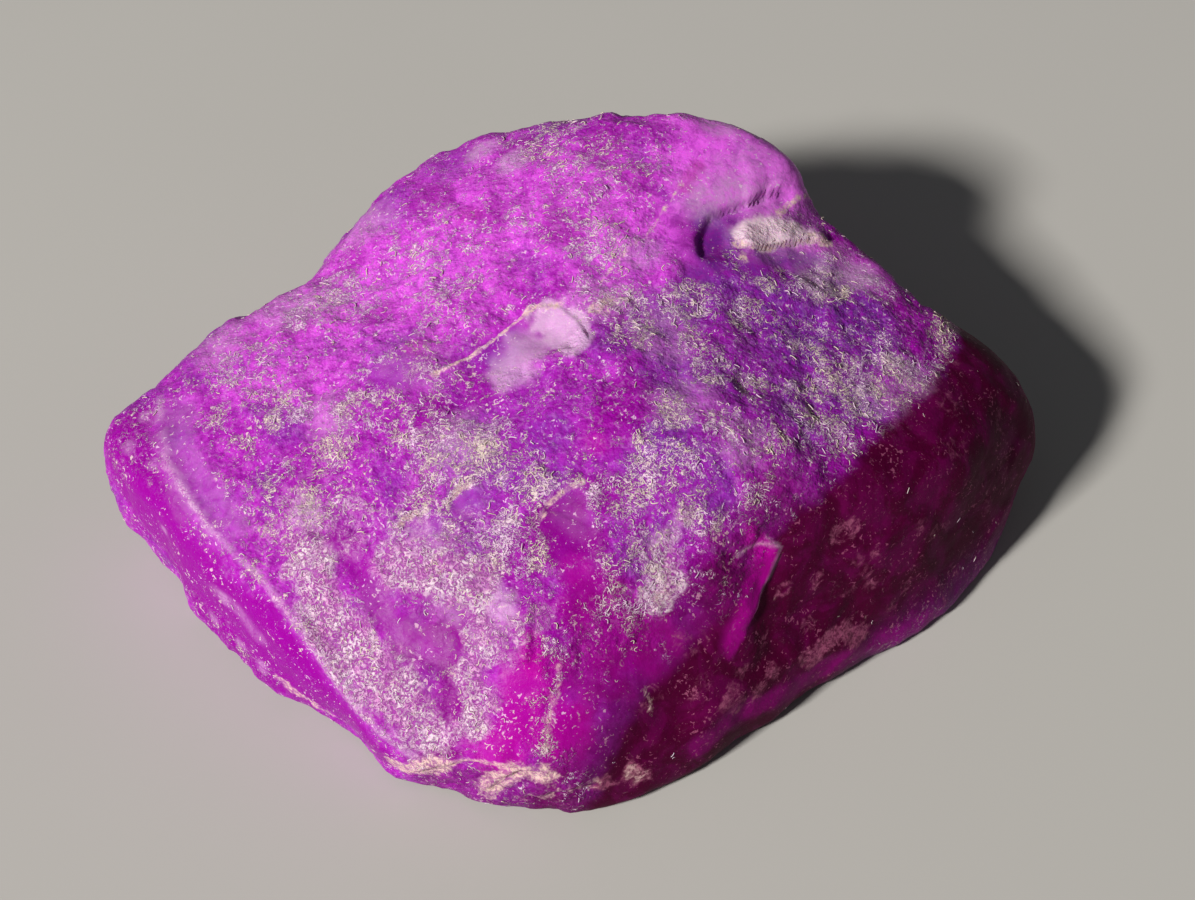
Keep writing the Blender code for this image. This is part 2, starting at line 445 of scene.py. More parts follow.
BROW = (
    (1.1, -18.7, 1.7), (2.0, -17.6, 3.9), (3.7, -15.5, 6.0), (6.1, -13.5, 7.3), (7.7, -12.0, 8.4),
    (9.2, -9.9, 9.7), (10.5, -8.7, 10.9), (13.2, -6.4, 11.1), (14.8, -3.9, 10.9), (17.3, -1.0, 10.5),
    (19.2, 2.6, 9.7), (19.3, 5.6, 8.6), (18.6, 7.4, 6.1), (16.6, 8.9, 4.6), (14.9, 9.5, 2.5),
)
FRONT_SHADE = (
    (-2.0, -19.0, 2.0), (-0.3, -18.3, 4.6), (1.5, -15.9, 6.8), (3.3, -14.1, 8.0), (6.1, -11.2, 10.3),
)

LEDGES = (
    *(Ledge(edge, drop=0.24, ramp=0.12, fade=0.9, ends=0.25) for edge in SCALLOPS),
    Ledge(tuple(reversed(OLD_CRACK)), drop=0.35, fade=1.4),
    Ledge(CHIP_EDGE, drop=-0.22, ramp=0.15, fade=1.0),
    Ledge(NOTCH_CLIFF, drop=0.4, ramp=0.35, fade=1.2, ends=0.1),
    Ledge(WEDGE_EDGE, drop=-0.35, ramp=0.12, fade=2.0, ends=0.1),
    Ledge(FLAKE_EDGE, drop=-0.18, ramp=0.10, fade=3.0, ends=0.3),
    Ledge(tuple(reversed(INNER_RIM)), drop=0.15, ramp=0.2, fade=1.2),
    Ledge(LOW_PLATE, drop=-0.2, ramp=0.15, fade=1.5),
    Ledge(tuple(reversed(FRONT_LEDGE)), drop=-0.3, ramp=0.15, fade=0.7),
    Ledge(FRONT_CHIP, drop=0.3, ramp=0.15, fade=0.9),
    Ledge(LOW_CHIP, drop=0.25, ramp=0.15, fade=0.7),
)
CREASES = (
    Crease(LEFT_RIM, reach=0.25, height=0.16),
    Crease(RIM_BAND, reach=0.6, height=-0.10),
    Crease(INNER_RIM, reach=0.22, height=0.14),
    Crease(NOTCH_FLOOR, reach=1.6, height=0.5, ends=0.3),
    Crease(NOTCH_CREVICE, reach=0.14, height=-0.25),
    Crease(DOME_EDGE, reach=1.2, height=0.55, ends=0.4),
    Crease(TAN_STRIP, reach=0.2, height=0.12),
    Crease(FROST_VALLEY, reach=0.5, height=-0.12),
    Crease(FROST_GROOVE, reach=0.4, height=-0.08),
    Crease(OLD_CRACK, reach=0.1, height=0.08),
    Crease(FOOT_LIP, reach=0.5, height=0.2),
)
BROAD_FACETS = Facets(size=2.6, lean=0.10, seed=4.3)
FINE_FACETS = Facets(size=0.95, lean=0.13, seed=9.1)


def spots(share: float, reach: float, *places: Place) -> Marking:
    """Separate soft spots."""
    return Marking(share, reach, places)


def line(share: float, reach: float, path: tuple[Place, ...], edge: float = 0.8) -> Marking:
    """One soft line."""
    return Marking(share, reach, path, Shape.LINE, edge)


def beyond(share: float, reach: float, path: tuple[Place, ...], edge: float) -> Marking:
    """All that lies to the right of a border."""
    return Marking(share, reach, path, Shape.RIGHT_SIDE, edge)


# Each marking's share and reach come first, then its places or its path.
MARKINGS: dict[Zone, tuple[Marking, ...]] = {
    Zone.PINK_AND_PAINTED_LIGHT: (
        spots(0.6, 4.5, (0, 8, 14), (-5, 9, 13), (-10, 6, 11)),
        spots(0.5, 3.5, (-8, 15, 8), (-1, 17, 9.5), (6, 16, 10.5)),
        spots(0.5, 3.5, (-15, 2, 10), (-12, 1, 11), (3, 4, 14), (-6, 3.5, 13)),
        spots(1.0, 2.4, (8.5, 10.5, 14.8), (6.5, 9.5, 15), (7.5, 12.5, 15), (10.2, 10.7, 13.9)),
        # painted light: brightens the notch floor, which lies in shade from its own tilt
        spots(0.8, 1.4, (10.8, 6.2, 12.4), (12.2, 6.8, 11.8), (13.8, 6.6, 11.3), (15.4, 5.8, 11.1)),
    ),
    Zone.DEEP: (
        spots(0.8, 2.6, (-5.7, 15.7, 3.3), (8.3, 16.5, 4.9), (-13.6, 9.7, 3.3), (13.5, 12.5, 4.5)),
        spots(0.9, 3.2, (13.5, 11.8, 6), (15.5, 10, 7), (17, 8.7, 8)),
        line(1.0, 2.1, LEFT_STRIP),
        line(1.0, 1.0, LOW_STRIP),
        line(1.0, 1.4, STRIP_FOOT),
        line(0.8, 0.7, FROST_VALLEY),
        line(0.8, 0.6, FROST_GROOVE),
        spots(0.8, 1.4, (-0.3, -10, 11.6), (0.6, -11.3, 11.2), (1.1, -12.7, 10.5), (2, -6, 13.3)),
        spots(
            0.8, 1.3, (-0.3, -11, 11), (3, -4.5, 14), (1.5, -9, 12), (2.4, -4.6, 13.8),
            (-2.1, -11.5, 10.7),
        ),
        spots(
            0.8, 1.8, (-1, -16, 8), (-0.5, -14, 9.5), (-1.5, -17.5, 6), (2.5, -14.5, 8),
            (6.5, -11.8, 9.5),
        ),
        spots(
            0.7, 1.3, (-4.5, -3, 13), (12.5, -6.5, 11.3), (14.5, -5, 11), (17.5, 2, 10.4),
            (-6, -4.2, 11.9),
        ),
        spots(0.7, 1.5, (17, 5, 10.7), (15, 6.5, 11.2), (19, 4, 9.7), (16.5, -2.2, 10.6), (14, 8, 11.4)),
        spots(0.6, 1.2, (-7.1, 10.2, 12.4), (-2.5, 12.4, 13.7), (1.6, 11.8, 14.8), (-0.4, 6.2, 14.4)),
        spots(
            0.5, 1.0, (-11.1, 7.6, 10.7), (-4, 8, 13.4), (3.4, 9, 14.9), (-9.5, 3, 11.8),
            (-13.5, 3.5, 10.3),
        ),
    ),
    Zone.VIOLET: (
        spots(0.6, 2.2, (-0.8, 17.8, 5.2), (12.2, 13.1, 4.9), (-18.7, 5.8, 6.5)),
        spots(0.5, 1.2, (11, 5, 12.2), (13, 5.8, 11.6)),
        spots(0.95, 2.2, (11, 1.5, 12.5), (13.5, 3.5, 12)),
        spots(0.75, 1.7, (15, 2, 11.5), (8.5, 3, 13.5), (6.5, 2, 14), (4.5, -6.5, 13.5)),
        spots(1.0, 0.9, (6.9, 6.7, 14.2), (7.1, 6.0, 13.9), (7.2, 4.9, 13.9), (7.8, 5.7, 13.8)),
        line(0.8, 0.6, ((9.4, 5.6, 13.0), (10.9, 6.0, 12.1), (12.0, 6.3, 11.6), (12.8, 6.0, 11.4))),
        spots(0.6, 1.4, (4, 0.5, 14), (4.5, -3, 14), (2, -1, 14), (6.5, -9, 12.5), (14, -3, 11.5)),
        spots(0.6, 1.1, (-3, -0.5, 13), (-1, -6, 13), (-0.5, -10, 11.5), (4.5, -11, 11.5)),
        spots(
            0.4, 1.6, (-8.5, -1, 12), (-6.5, 13, 12.5), (-9, 10.5, 12), (-3.5, -10.5, 11), (-4, -8, 11.8),
        ),
        spots(0.45, 5.5, (9, -0.5, 13)),
        spots(0.35, 3.5, (12.5, -1.5, 12), (3.5, -8, 13), (-2.5, -6, 12.5)),
        line(0.2, 1.0, RIM_BAND),
        spots(0.45, 0.9, *SCALLOP_FLOORS),
    ),
    # painted shade: darkens the right face beyond the brow, the front's shaded side and small shaded hollows
    Zone.PAINTED_SHADE: (
        spots(0.3, 2.6, (-5.5, -12.5, 9), (-6.5, -16, 6)),
        spots(0.3, 0.7, (7.0, 6.2, 14.0), (7.1, 5.2, 13.9)),
        spots(0.25, 1.3, (-0.3, -10, 11.6), (0.4, -11.2, 11.3), (1.1, -12.4, 10.7)),
        spots(0.45, 1.8, (2.0, -13.8, 9.2), (3.2, -13.8, 8.6), (1.2, -15.4, 7.6)),
        spots(0.45, 2.4, (-2, -18.7, 2.5), (-5, -17.7, 2)),
        spots(0.4, 1.2, (6.8, -12.2, 8.7), (6.7, -13.1, 7.8), (6.2, -14.0, 7.0), (7.3, -11.6, 9.2)),
        beyond(0.7, 9.0, FRONT_SHADE, 2.5),
        beyond(1.0, 16.0, BROW, 1.1),
    ),
    Zone.HAZE: (
        spots(0.12, 0.9, *SCALLOP_FLOORS),
        line(0.25, 1.2, RIM_BAND),
        line(0.35, 1.3, NOTCH_FLOOR),
        spots(0.8, 1.1, (12.2, 4.6, 12.0), (13.3, 5.6, 11.5), (14.4, 5.6, 11.3)),
        spots(0.35, 1.8, (8.5, 9.5, 14.5), (7, 8.5, 14.8)),
        spots(0.2, 1.8, (-7.3, -0.8, 12.4)),
        spots(
            0.45, 1.6, (-5, -5.5, 12), (-17.5, 3.5, 9), (-14.5, 5, 10), (-10.5, 10, 11), (-7, -10.5, 10),
        ),
        spots(0.4, 1.2, (-11.5, -3, 11), (3.5, 4.5, 14.5), (8, -6.5, 13), (15, -2, 11), (16.5, -0.5, 11)),
        spots(
            0.35, 1.5, (-5, -12.5, 9.5), (4.5, -0.5, 14), (1.5, 1.5, 14), (5.5, -4.5, 14),
            (-12.5, 5, 10.5),
        ),
        spots(0.9, 0.8, (-12.3, -7.7, 9.3), (-3.1, -13.4, 9.5), (-11.5, -9.9, 8.6)),
        spots(0.15, 1.0, (-7.4, -13.6, 7.3), (-6.2, -14.0, 7.5), (-8.6, -12.0, 8.1)),
        spots(0.6, 0.3, (-21.0, -0.6, 8.1), (-20.2, -3.6, 8.1), (-19.6, -6.2, 6.1), (-21.6, -2.3, 7.8)),
        line(0.35, 0.35, ((-16.9, -9.2, 5.3), (-15.6, -10.5, 5.2), (-14.6, -11.6, 4.7)), edge=1.6),
        spots(0.9, 0.55, (-3.4, -12.6, 9.9), (-11.1, -11.9, 7.4), (-4, -14.3, 8.3)),
        spots(0.8, 0.9, (-4.7, 13.4, 12.9), (-2.9, 11.7, 13.6)),
        spots(0.7, 0.45, (4.8, -10.6, 11.3), (5.3, -9.9, 11.8), (4.1, -11, 11.2)),
        spots(0.5, 0.9, (6.7, 7.6, 14.6), (8.3, 8.8, 14.4), (7.6, 13, 15)),
        spots(0.5, 0.4, (-17.3, -9.2, 2.9), (-15.9, -10.7, 2.8), (-14.6, -11.8, 2.6), (-16.4, -9.7, 5.2)),
        spots(0.5, 2.2, (-12.6, 12.4, 6.2), (-4.0, 18.5, 6.3), (5.8, 17.6, 6.7), (11.3, 14.1, 7.5)),
        line(0.6, 0.2, LEFT_RIM),
        line(0.8, 0.3, INNER_RIM),
    ),
    Zone.THREADS: (
        spots(
            0.95, 1.5, (-6.5, -5, 11.5), (-4, -6, 12), (-1.8, -8, 12), (-6, -8.5, 11), (-2.1, -11, 11),
            (4, -7.5, 13), (5.7, -8, 13), (13, -1, 12), (14.3, -2.4, 11.3), (12, -5, 11.5),
        ),
        spots(
            0.95, 1.0, (6.2, -9.7, 11.8), (7.3, -5.8, 13.5), (4.8, -5.2, 13.8), (4.3, -12.5, 9.5),
            (3.3, -11, 11.3), (6.3, -0.6, 13.6), (5.4, 1.7, 14), (6.9, -2.5, 13.5), (13.2, 4.5, 11.8),
            (8.6, -3, 13), (11.9, 4.3, 12.2), (8.5, 1.7, 13.2), (6.6, 1.9, 13.7), (15.2, 5, 11.2),
        ),
        spots(
            0.75, 1.2, (-10, -3, 11.5), (-11.5, -5, 10.5), (-13.5, -2.3, 10.5), (-11.4, -7.2, 9.7),
            (1.5, 3.4, 14), (2.5, 1.6, 14), (3, -0.2, 14), (10.7, 1.1, 12.5), (11, -3.2, 12.2),
            (15, 1, 11.4), (16.6, 0, 10.8), (9.4, -6.1, 12.8), (3.2, -9.4, 12.4), (1.5, -9.3, 12.2),
            (-3.5, -9.5, 11.2), (10, 4.2, 13),
        ),
        spots(
            0.6, 0.8, (-15.8, -3.8, 9.4), (-17.5, -1.8, 9), (-12, 5, 10.4), (-13.4, 3.8, 10.3),
            (-4.4, 6.4, 13.4), (-0.5, 10.2, 14.5), (6, 5.9, 14.2), (8.6, 4.9, 13.5), (11.3, 3.6, 12.7),
            (8.8, 1.2, 13), (8.5, -8.5, 12), (18.4, 3, 10), (16.7, -2.4, 10.6), (1.5, -12, 11),
            (-0.5, -14.8, 8.6), (4, 10, 15), (-2.4, 7.6, 14), (-14.9, -9.7, 7.5),
        ),
        spots(
            0.45, 2.2, (-15.5, 0.5, 9.8), (-11.1, 5, 10.8), (-7.5, 6.7, 12.3), (1, 10, 15),
            (1, 5.5, 14.5), (-6, 2.5, 13), (-1, 13, 14), (-14.5, -6.5, 9), (-8, -2, 12), (3.5, -13, 9.5),
            (12, 5.5, 11.8), (14, 0, 11.8),
        ),
        *(line(0.8, 0.35, edge) for edge in SCALLOPS),
        line(0.6, 0.5, BROW_THREADS),
        spots(0.7, 0.9, (13.0, 5.2, 11.7), (14.2, 5.4, 11.3), (11.8, 5.0, 12.1)),
        spots(
            0.6, 1.8, (-15.8, 7.9, 6.0), (-8.6, 16.1, 5.3), (0.2, 18.6, 8.3), (7.3, 16.6, 8.2),
            (13.8, 11.7, 7.5), (2.3, 17.8, 5.1),
        ),
        line(0.6, 0.3, FRONT_THREAD, edge=1.2),
    ),
    # partly painted glints: the frosted slopes where the sun's sheen falls
    Zone.FROST_AND_PAINTED_GLINTS: (
        line(
            1.0, 1.2, ((-12.1, -9.6, 8.5), (-11.5, -11.2, 7.7), (-10.8, -12.5, 7.0), (-9.7, -13.9, 6.1)),
        ),
        line(0.9, 1.4, ((-9.8, -13.6, 6.4), (-8.4, -14.9, 5.8), (-7.2, -16.0, 5.2), (-6.5, -16.7, 4.9))),
        line(0.95, 1.3, ((-7.6, -10.6, 9.2), (-6.0, -11.3, 9.4), (-4.4, -12.1, 9.7))),
        line(0.9, 0.8, ((-4.0, -13.6, 8.9), (-4.1, -14.9, 7.7), (-4.6, -15.6, 7.0))),
        spots(0.9, 0.9, (-4.1, -17.1, 5.8), (-3.8, -16.3, 6.5)),
        spots(0.7, 0.7, (-2.4, -14.2, 8.9), (-2.6, -15, 8.2), (-1.2, -13.8, 9.5)),
        line(0.7, 0.3, INNER_RIM),
        line(0.6, 0.18, LEFT_RIM),
        spots(0.45, 1.8, (-12.8, -8.2, 9), (-10.5, -8.5, 9.8), (-7.5, -9.3, 10.4), (-4.2, -10.5, 10.6)),
        spots(0.30, 1.6, (-6.5, -5.5, 11.5), (-4, -7, 12), (-11.5, -5, 10.5), (-13.5, -2.3, 10.5)),
        spots(1.0, 0.9, (4.1, -12.7, 9.5), (4.5, -12.1, 10.0), (4.4, -11.5, 10.7)),
        spots(0.6, 0.6, (4.8, -10.6, 11.3), (5.4, -9.8, 11.9)),
    ),
    Zone.BLOTCH: (
        spots(0.85, 0.75, (13.5, -10.3, 3.5), (14, -10.1, 2.9)),
        spots(0.9, 0.6, (3.4, -17.6, 2.1), (2.9, -17.6, 2.5), (1.6, -18.3, 2.5), (12.1, -11.1, 3.7)),
        spots(
            0.65, 0.55, (11.2, -11.8, 3.5), (11.7, -11.7, 3), (7.7, -14.3, 4.4), (8.2, -13.6, 4.9),
            (9.1, -13.7, 3.4), (9.6, -13, 3.9), (8, -14.6, 3.5), (7.3, -14.8, 4), (12.8, -10.7, 3.8),
            (12.7, -8.7, 8.9), (13.3, -8.3, 9),
        ),
        spots(
            0.5, 0.5, (9.3, -12.4, 5.6), (11.4, -11, 4.9), (11.7, -10, 7.1), (10.1, -10.8, 7.5),
            (14.6, -9, 5.4), (15.7, -8.8, 3.4), (13.7, -8.9, 7.1), (14.7, -8.4, 7.1), (14.2, -8.9, 6.4),
            (13.5, -9.5, 5.7), (17.8, -6.4, 6.3), (18.3, -5.9, 5.9), (16.4, -8.2, 4.1), (16.9, -6.8, 7.2),
            (18.8, 1.5, 9.9),
        ),
        spots(
            0.4, 0.8, (6.2, -14.8, 5.1), (5.7, -13.6, 7.4), (18.5, -7, 1.6), (21.4, -0.8, 8),
            (19.5, -5.5, 2.8), (21.7, -2, 5.6), (18.3, -1.3, 10), (20.9, -3.4, 5), (18.8, -3.9, 9.4),
            (4, -15.7, 5.5),
        ),
    ),
    Zone.SMOOTH: (
        line(0.9, 1.0, RIM_BAND),
        spots(0.9, 0.65, *SCALLOP_FLOORS),
        line(0.9, 1.9, LEFT_STRIP[2:]),
        line(0.95, 1.2, LOW_STRIP),
        line(0.95, 1.1, NOTCH_CLIFF),
        line(0.75, 0.6, FROST_VALLEY),
        line(0.6, 0.5, FROST_GROOVE),
        spots(
            0.95, 1.9, (8.6, 11.3, 14.8), (7, 11.5, 15), (7.5, 9.2, 14.7), (6, 7.5, 14.6),
            (10.2, 10.7, 14),
        ),
        spots(0.95, 0.9, (6.7, 5.8, 14), (-0.3, -10.2, 11.6), (9.1, 4.8, 13.4)),
        spots(0.9, 1.5, (-1, 0.3, 13.4), (-3, -0.6, 13), (11, 6, 12)),
        spots(0.5, 1.4, (13.1, 6.7, 11.3), (15, 5.6, 11.2)),
        spots(0.9, 1.0, (0.3, -11.2, 11.3), (0.9, -12.4, 10.7), (-0.2, -9.3, 11.9), (-8.7, -1.5, 12)),
        spots(0.6, 1.2, (-7.6, -1.3, 12.2), (-5.2, 13.7, 12.6), (-10, 10.7, 11.3), (0.5, -13, 10)),
        spots(0.9, 1.1, (-2.2, -16.0, 7.3), (0.6, -17.3, 5.8), (-2.4, -17.2, 6), (-3, -17.9, 5.2)),
        spots(
            0.9, 1.8, (2.4, -16.4, 6), (3.4, -15.5, 6.5), (2, -17.4, 4), (5.7, -13.2, 8),
            (0.9, -16.6, 6.6),
        ),
        beyond(0.85, 16.0, BROW, 1.1),
    ),
    # painted light: the front's red shine-through, the flake's lit leaf and band, the low rim and spots on
    # the dome
    Zone.GLOW: (
        spots(0.65, 1.5, (-1.9, -17.2, 6.2), (-0.3, -17.4, 5.8), (-1.6, -16.2, 7.4), (-3, -17.9, 5)),
        line(0.6, 0.5, ((-1.6, -14.6, 8.8), (-1.5, -15.6, 8.0))),
        spots(0.3, 1.8, (1.3, -13.4, 9.8), (2.4, -13.8, 8.8), (3.6, -14.2, 7.8), (1.2, -15.4, 7.6)),
        spots(0.5, 0.4, (6, 9.3, 15), (5.7, 8.4, 15), (6.4, 10, 15)),
        spots(0.3, 0.6, (1.3, -6.6, 13), (0.4, -12, 11), (-5, 8.3, 13.2), (-7.4, 0, 12.3)),
        beyond(0.65, 1.5, FLAKE_EDGE, 0.12),
        line(0.35, 0.7, LOW_RIM),
        line(0.6, 0.5, FLAKE_BAND, edge=2.0),
    ),
    Zone.LAVENDER_AND_PAINTED_HIGHLIGHT: (
        # painted highlight: the flake's lit edge and tip
        line(0.25, 0.09, FLAKE_EDGE[:6], edge=1.0),
        line(0.2, 0.12, FLAKE_TIP[1:], edge=1.0),
        line(0.75, 1.0, ((-1.0, 0.9, 13.7), (-0.2, 0.2, 13.8), (0.3, -0.8, 13.9)), edge=0.3),
        spots(0.55, 1.1, (-2.0, -0.8, 13.2), (-2.6, -1.9, 13.0)),
        line(0.1, 0.9, DOME_FOOT, edge=1.4),
        line(0.15, 1.8, DOME_EDGE, edge=1.4),
    ),
    Zone.TAN: (
        spots(0.6, 0.6, (4.2, -12.6, 9.6), (4.5, -11.9, 10.3)),
        *(line(0.75, 0.14, edge, edge=1.6) for edge in SCALLOPS),
        line(1.0, 0.2, OLD_CRACK, edge=0.8),
        line(0.7, 0.12, DOME_CRACK, edge=1.6),
        line(0.8, 0.25, CHIP_EDGE[:2], edge=0.6),
        spots(0.6, 0.6, (1.5, 1.0, 14.0), (2.0, 1.6, 14.1)),
        line(0.9, 0.3, WEDGE[4:], edge=0.8),
        line(0.7, 0.3, ((8.4, 5.8, 13.7), (8.6, 4.8, 13.6)), edge=0.8),
        line(0.9, 0.2, TAN_STRIP, edge=0.8),
        line(0.7, 0.16, WEDGE_EDGE, edge=0.8),
        line(0.95, 0.65, FRONT_LEDGE[:3], edge=0.8),
        line(0.8, 0.22, FRONT_LEDGE[2:], edge=0.8),
        line(0.85, 0.65, FRONT_CHIP, edge=1.4),
        line(0.5, 0.4, LOW_CHIP, edge=1.4),
        line(0.65, 0.2, FRONT_THREAD, edge=1.8),
        line(0.6, 0.18, FRONT_SPECK, edge=1.4),
        spots(0.6, 0.5, (3.4, -17.6, 2.1), (2.9, -17.6, 2.5)),
        line(0.45, 0.08, FLAKE_TIP, edge=0.6),
        line(0.7, 0.32, ((-13.9, -12.4, 2.6), (-12.6, -13.4, 2.2), (-11.3, -14.4, 1.8)), edge=0.8),
    ),
    # partly painted light: the wedge's real pale colour, made brighter to make up for shade falling on it
    Zone.CHALK_AND_PAINTED_LIGHT: (
        line(1.0, 0.8, WEDGE[1:4], edge=0.4),
        line(0.9, 0.45, WEDGE[3:5], edge=0.5),
    ),
}


class Draw(Enum):
    """What a Random Value node draws: its data type, and the numbers of its low input and its output."""

    PLACE = ("FLOAT_VECTOR", 0, 0)
    NUMBER = ("FLOAT", 2, 1)
    WHOLE_NUMBER = ("INT", 4, 2)


DRAW_SEED = 8  # the Random Value node's input for its seed
MIX_NUMBERS = (2, 3)  # the Mix node's inputs for two numbers
MIX_COLOURS = (6, 7)  # the Mix node's inputs for two colours
MIXED_NUMBER = 0  # the Mix node's output for a number
MIXED_COLOUR = 2  # the Mix node's output for a colour


@dataclass
class NodeSheet:
    """Adds nodes to a node tree and links them."""

    tree: bpy.types.NodeTree

    def add(self, kind: str, plugs: dict | None = None, **settings: object) -> bpy.types.Node:
        """Adds a node.

        Args:
            kind: the node's type name.
            plugs: for each input, by name or number, a socket to link or a value to set.
            settings: the node's own properties.

        Returns:
            The new node.
        """
        node = self.tree.nodes.new(kind)
        for name, value in settings.items():
            setattr(node, name, value)
        self.plug(node, plugs or {})
        return node

    def plug(self, node: bpy.types.Node, plugs: dict) -> None:
        """Fills a node's inputs.

        Args:
            node: the node.
            plugs: for each input, by name or number, a socket to link or a value to set.
        """
        for key, value in plugs.items():
            if isinstance(value, Socket):
                self.tree.links.new(value, node.inputs[key])
            else:
                node.inputs[key].default_value = value

    def reckon(self, operation: str, first: Socket | float, second: Socket | float = 0.0) -> Socket:
        """The result of one step of arithmetic."""
        return self.add("ShaderNodeMath", {0: first, 1: second}, operation=operation).outputs[0]

    def times(self, first: Socket | float, second: Socket | float) -> Socket:
        """The product of two values."""
        return self.reckon("MULTIPLY", first, second)

    def plus(self, first: Socket | float, second: Socket | float) -> Socket:
        """The sum of two values."""
        return self.reckon("ADD", first, second)

    def minus(self, first: Socket | float, second: Socket | float) -> Socket:
        """The first value less the second."""
        return self.reckon("SUBTRACT", first, second)

    def larger(self, first: Socket | float, second: Socket | float) -> Socket:
        """The larger of two values."""
        return self.reckon("MAXIMUM", first, second)

    def about_zero(self, pattern: Socket, swing: float) -> Socket:
        """A pattern of 0 to 1 made to run from half a swing below 0 to half a swing above it."""
        return self.minus(self.times(pattern, swing), swing / 2)

    def span(
        self,
        value: Socket,
        low: float,
        high: float,
        to_low: float = 0.0,
        to_high: float = 1.0,
        ramp: str = "SMOOTHSTEP",
    ) -> Socket:
        """Maps a value from one range to another.

        Args:
            value: the value to map.
            low: the value that gives to_low.
            high: the value that gives to_high.
            to_low: the result at and below low.
            to_high: the result at and above high.
            ramp: how the result runs between them, smooth unless told otherwise.

        Returns:
            The mapped value.
        """
        plugs = {0: value, 1: low, 2: high, 3: to_low, 4: to_high}
        return self.add("ShaderNodeMapRange", plugs, interpolation_type=ramp).outputs[0]

    def blend(self, share: Socket | float, low: Socket | Colour, high: Socket | Colour) -> Socket:
        """A colour between two colours."""
        plugs = {0: share, MIX_COLOURS[0]: low, MIX_COLOURS[1]: high}
        return self.add("ShaderNodeMix", plugs, data_type="RGBA").outputs[MIXED_COLOUR]

    def between(self, share: Socket, low: Socket | float, high: Socket | float) -> Socket:
        """A number between two numbers."""
        plugs = {0: share, MIX_NUMBERS[0]: low, MIX_NUMBERS[1]: high}
        return self.add("ShaderNodeMix", plugs, data_type="FLOAT").outputs[MIXED_NUMBER]

    def attribute(self, zone: Zone) -> Socket:
        """The share of a zone at each place on the stone."""
        return self.add("ShaderNodeAttribute", attribute_name=zone.value).outputs["Fac"]

    def noise(
        self, place: Socket, size: float, detail: float = 2.0, twist: float = 0.0, rough: float = 0.5
    ) -> Socket:
        """Smooth random values, about a half on average.

        Args:
            place: the place in millimetres.
            size: the width of one lump.
            detail: how many times finer lumps are added.
            twist: how much the lumps are distorted.
            rough: how strong the finer lumps are.

        Returns:
            The random value.
        """
        plugs = {"Vector": place, "Scale": 1 / size, "Detail": detail}
        plugs |= {"Distortion": twist, "Roughness": rough}
        return self.add("ShaderNodeTexNoise", plugs).outputs[0]

    def draw(self, kind: Draw, low: Place | float, high: Place | float, seed: Socket) -> Socket:
        """A random value of its own for each fibre.

        Args:
            kind: what to draw.
            low: the least value.
            high: the greatest value.
            seed: the seed of the draw.

        Returns:
            The drawn value.
        """
        data_type, first, drawn = kind.value
        plugs = {first: low, first + 1: high, DRAW_SEED: seed}
        return self.add("FunctionNodeRandomValue", plugs, data_type=data_type).outputs[drawn]

    def bump(self, strength: float, distance: float, height: Socket) -> Socket:
        """The surface's outward way with a fine relief, whose height is given in millimetres."""
        plugs = {"Strength": strength, "Distance": distance * MM, "Height": height}
        return self.add("ShaderNodeBump", plugs).outputs[0]

    def place_in_mm(self, turn: Place = (0.0, 0.0, 0.0), shift: Place = (0.0, 0.0, 0.0)) -> Socket:
        """The place on the object.

        Args:
            turn: how far it is turned about each axis, in radians.
            shift: how far it is then moved.

        Returns:
            The place in millimetres.
        """
        source = self.add("ShaderNodeTexCoord").outputs["Object"]
        plugs = {"Vector": source, "Rotation": turn, "Location": shift}
        plugs["Scale"] = (1 / MM, 1 / MM, 1 / MM)
        return self.add("ShaderNodeMapping", plugs).outputs[0]


def new_material(name: str) -> tuple[bpy.types.Material, NodeSheet, bpy.types.Node]:
    """Adds a material.

    Args:
        name: its name.

    Returns:
        The material, its node sheet and its Principled shader.
    """
    material = bpy.data.materials.new(name)
    material.use_nodes = True
    sheet = NodeSheet(material.node_tree)
    return material, sheet, material.node_tree.nodes["Principled BSDF"]


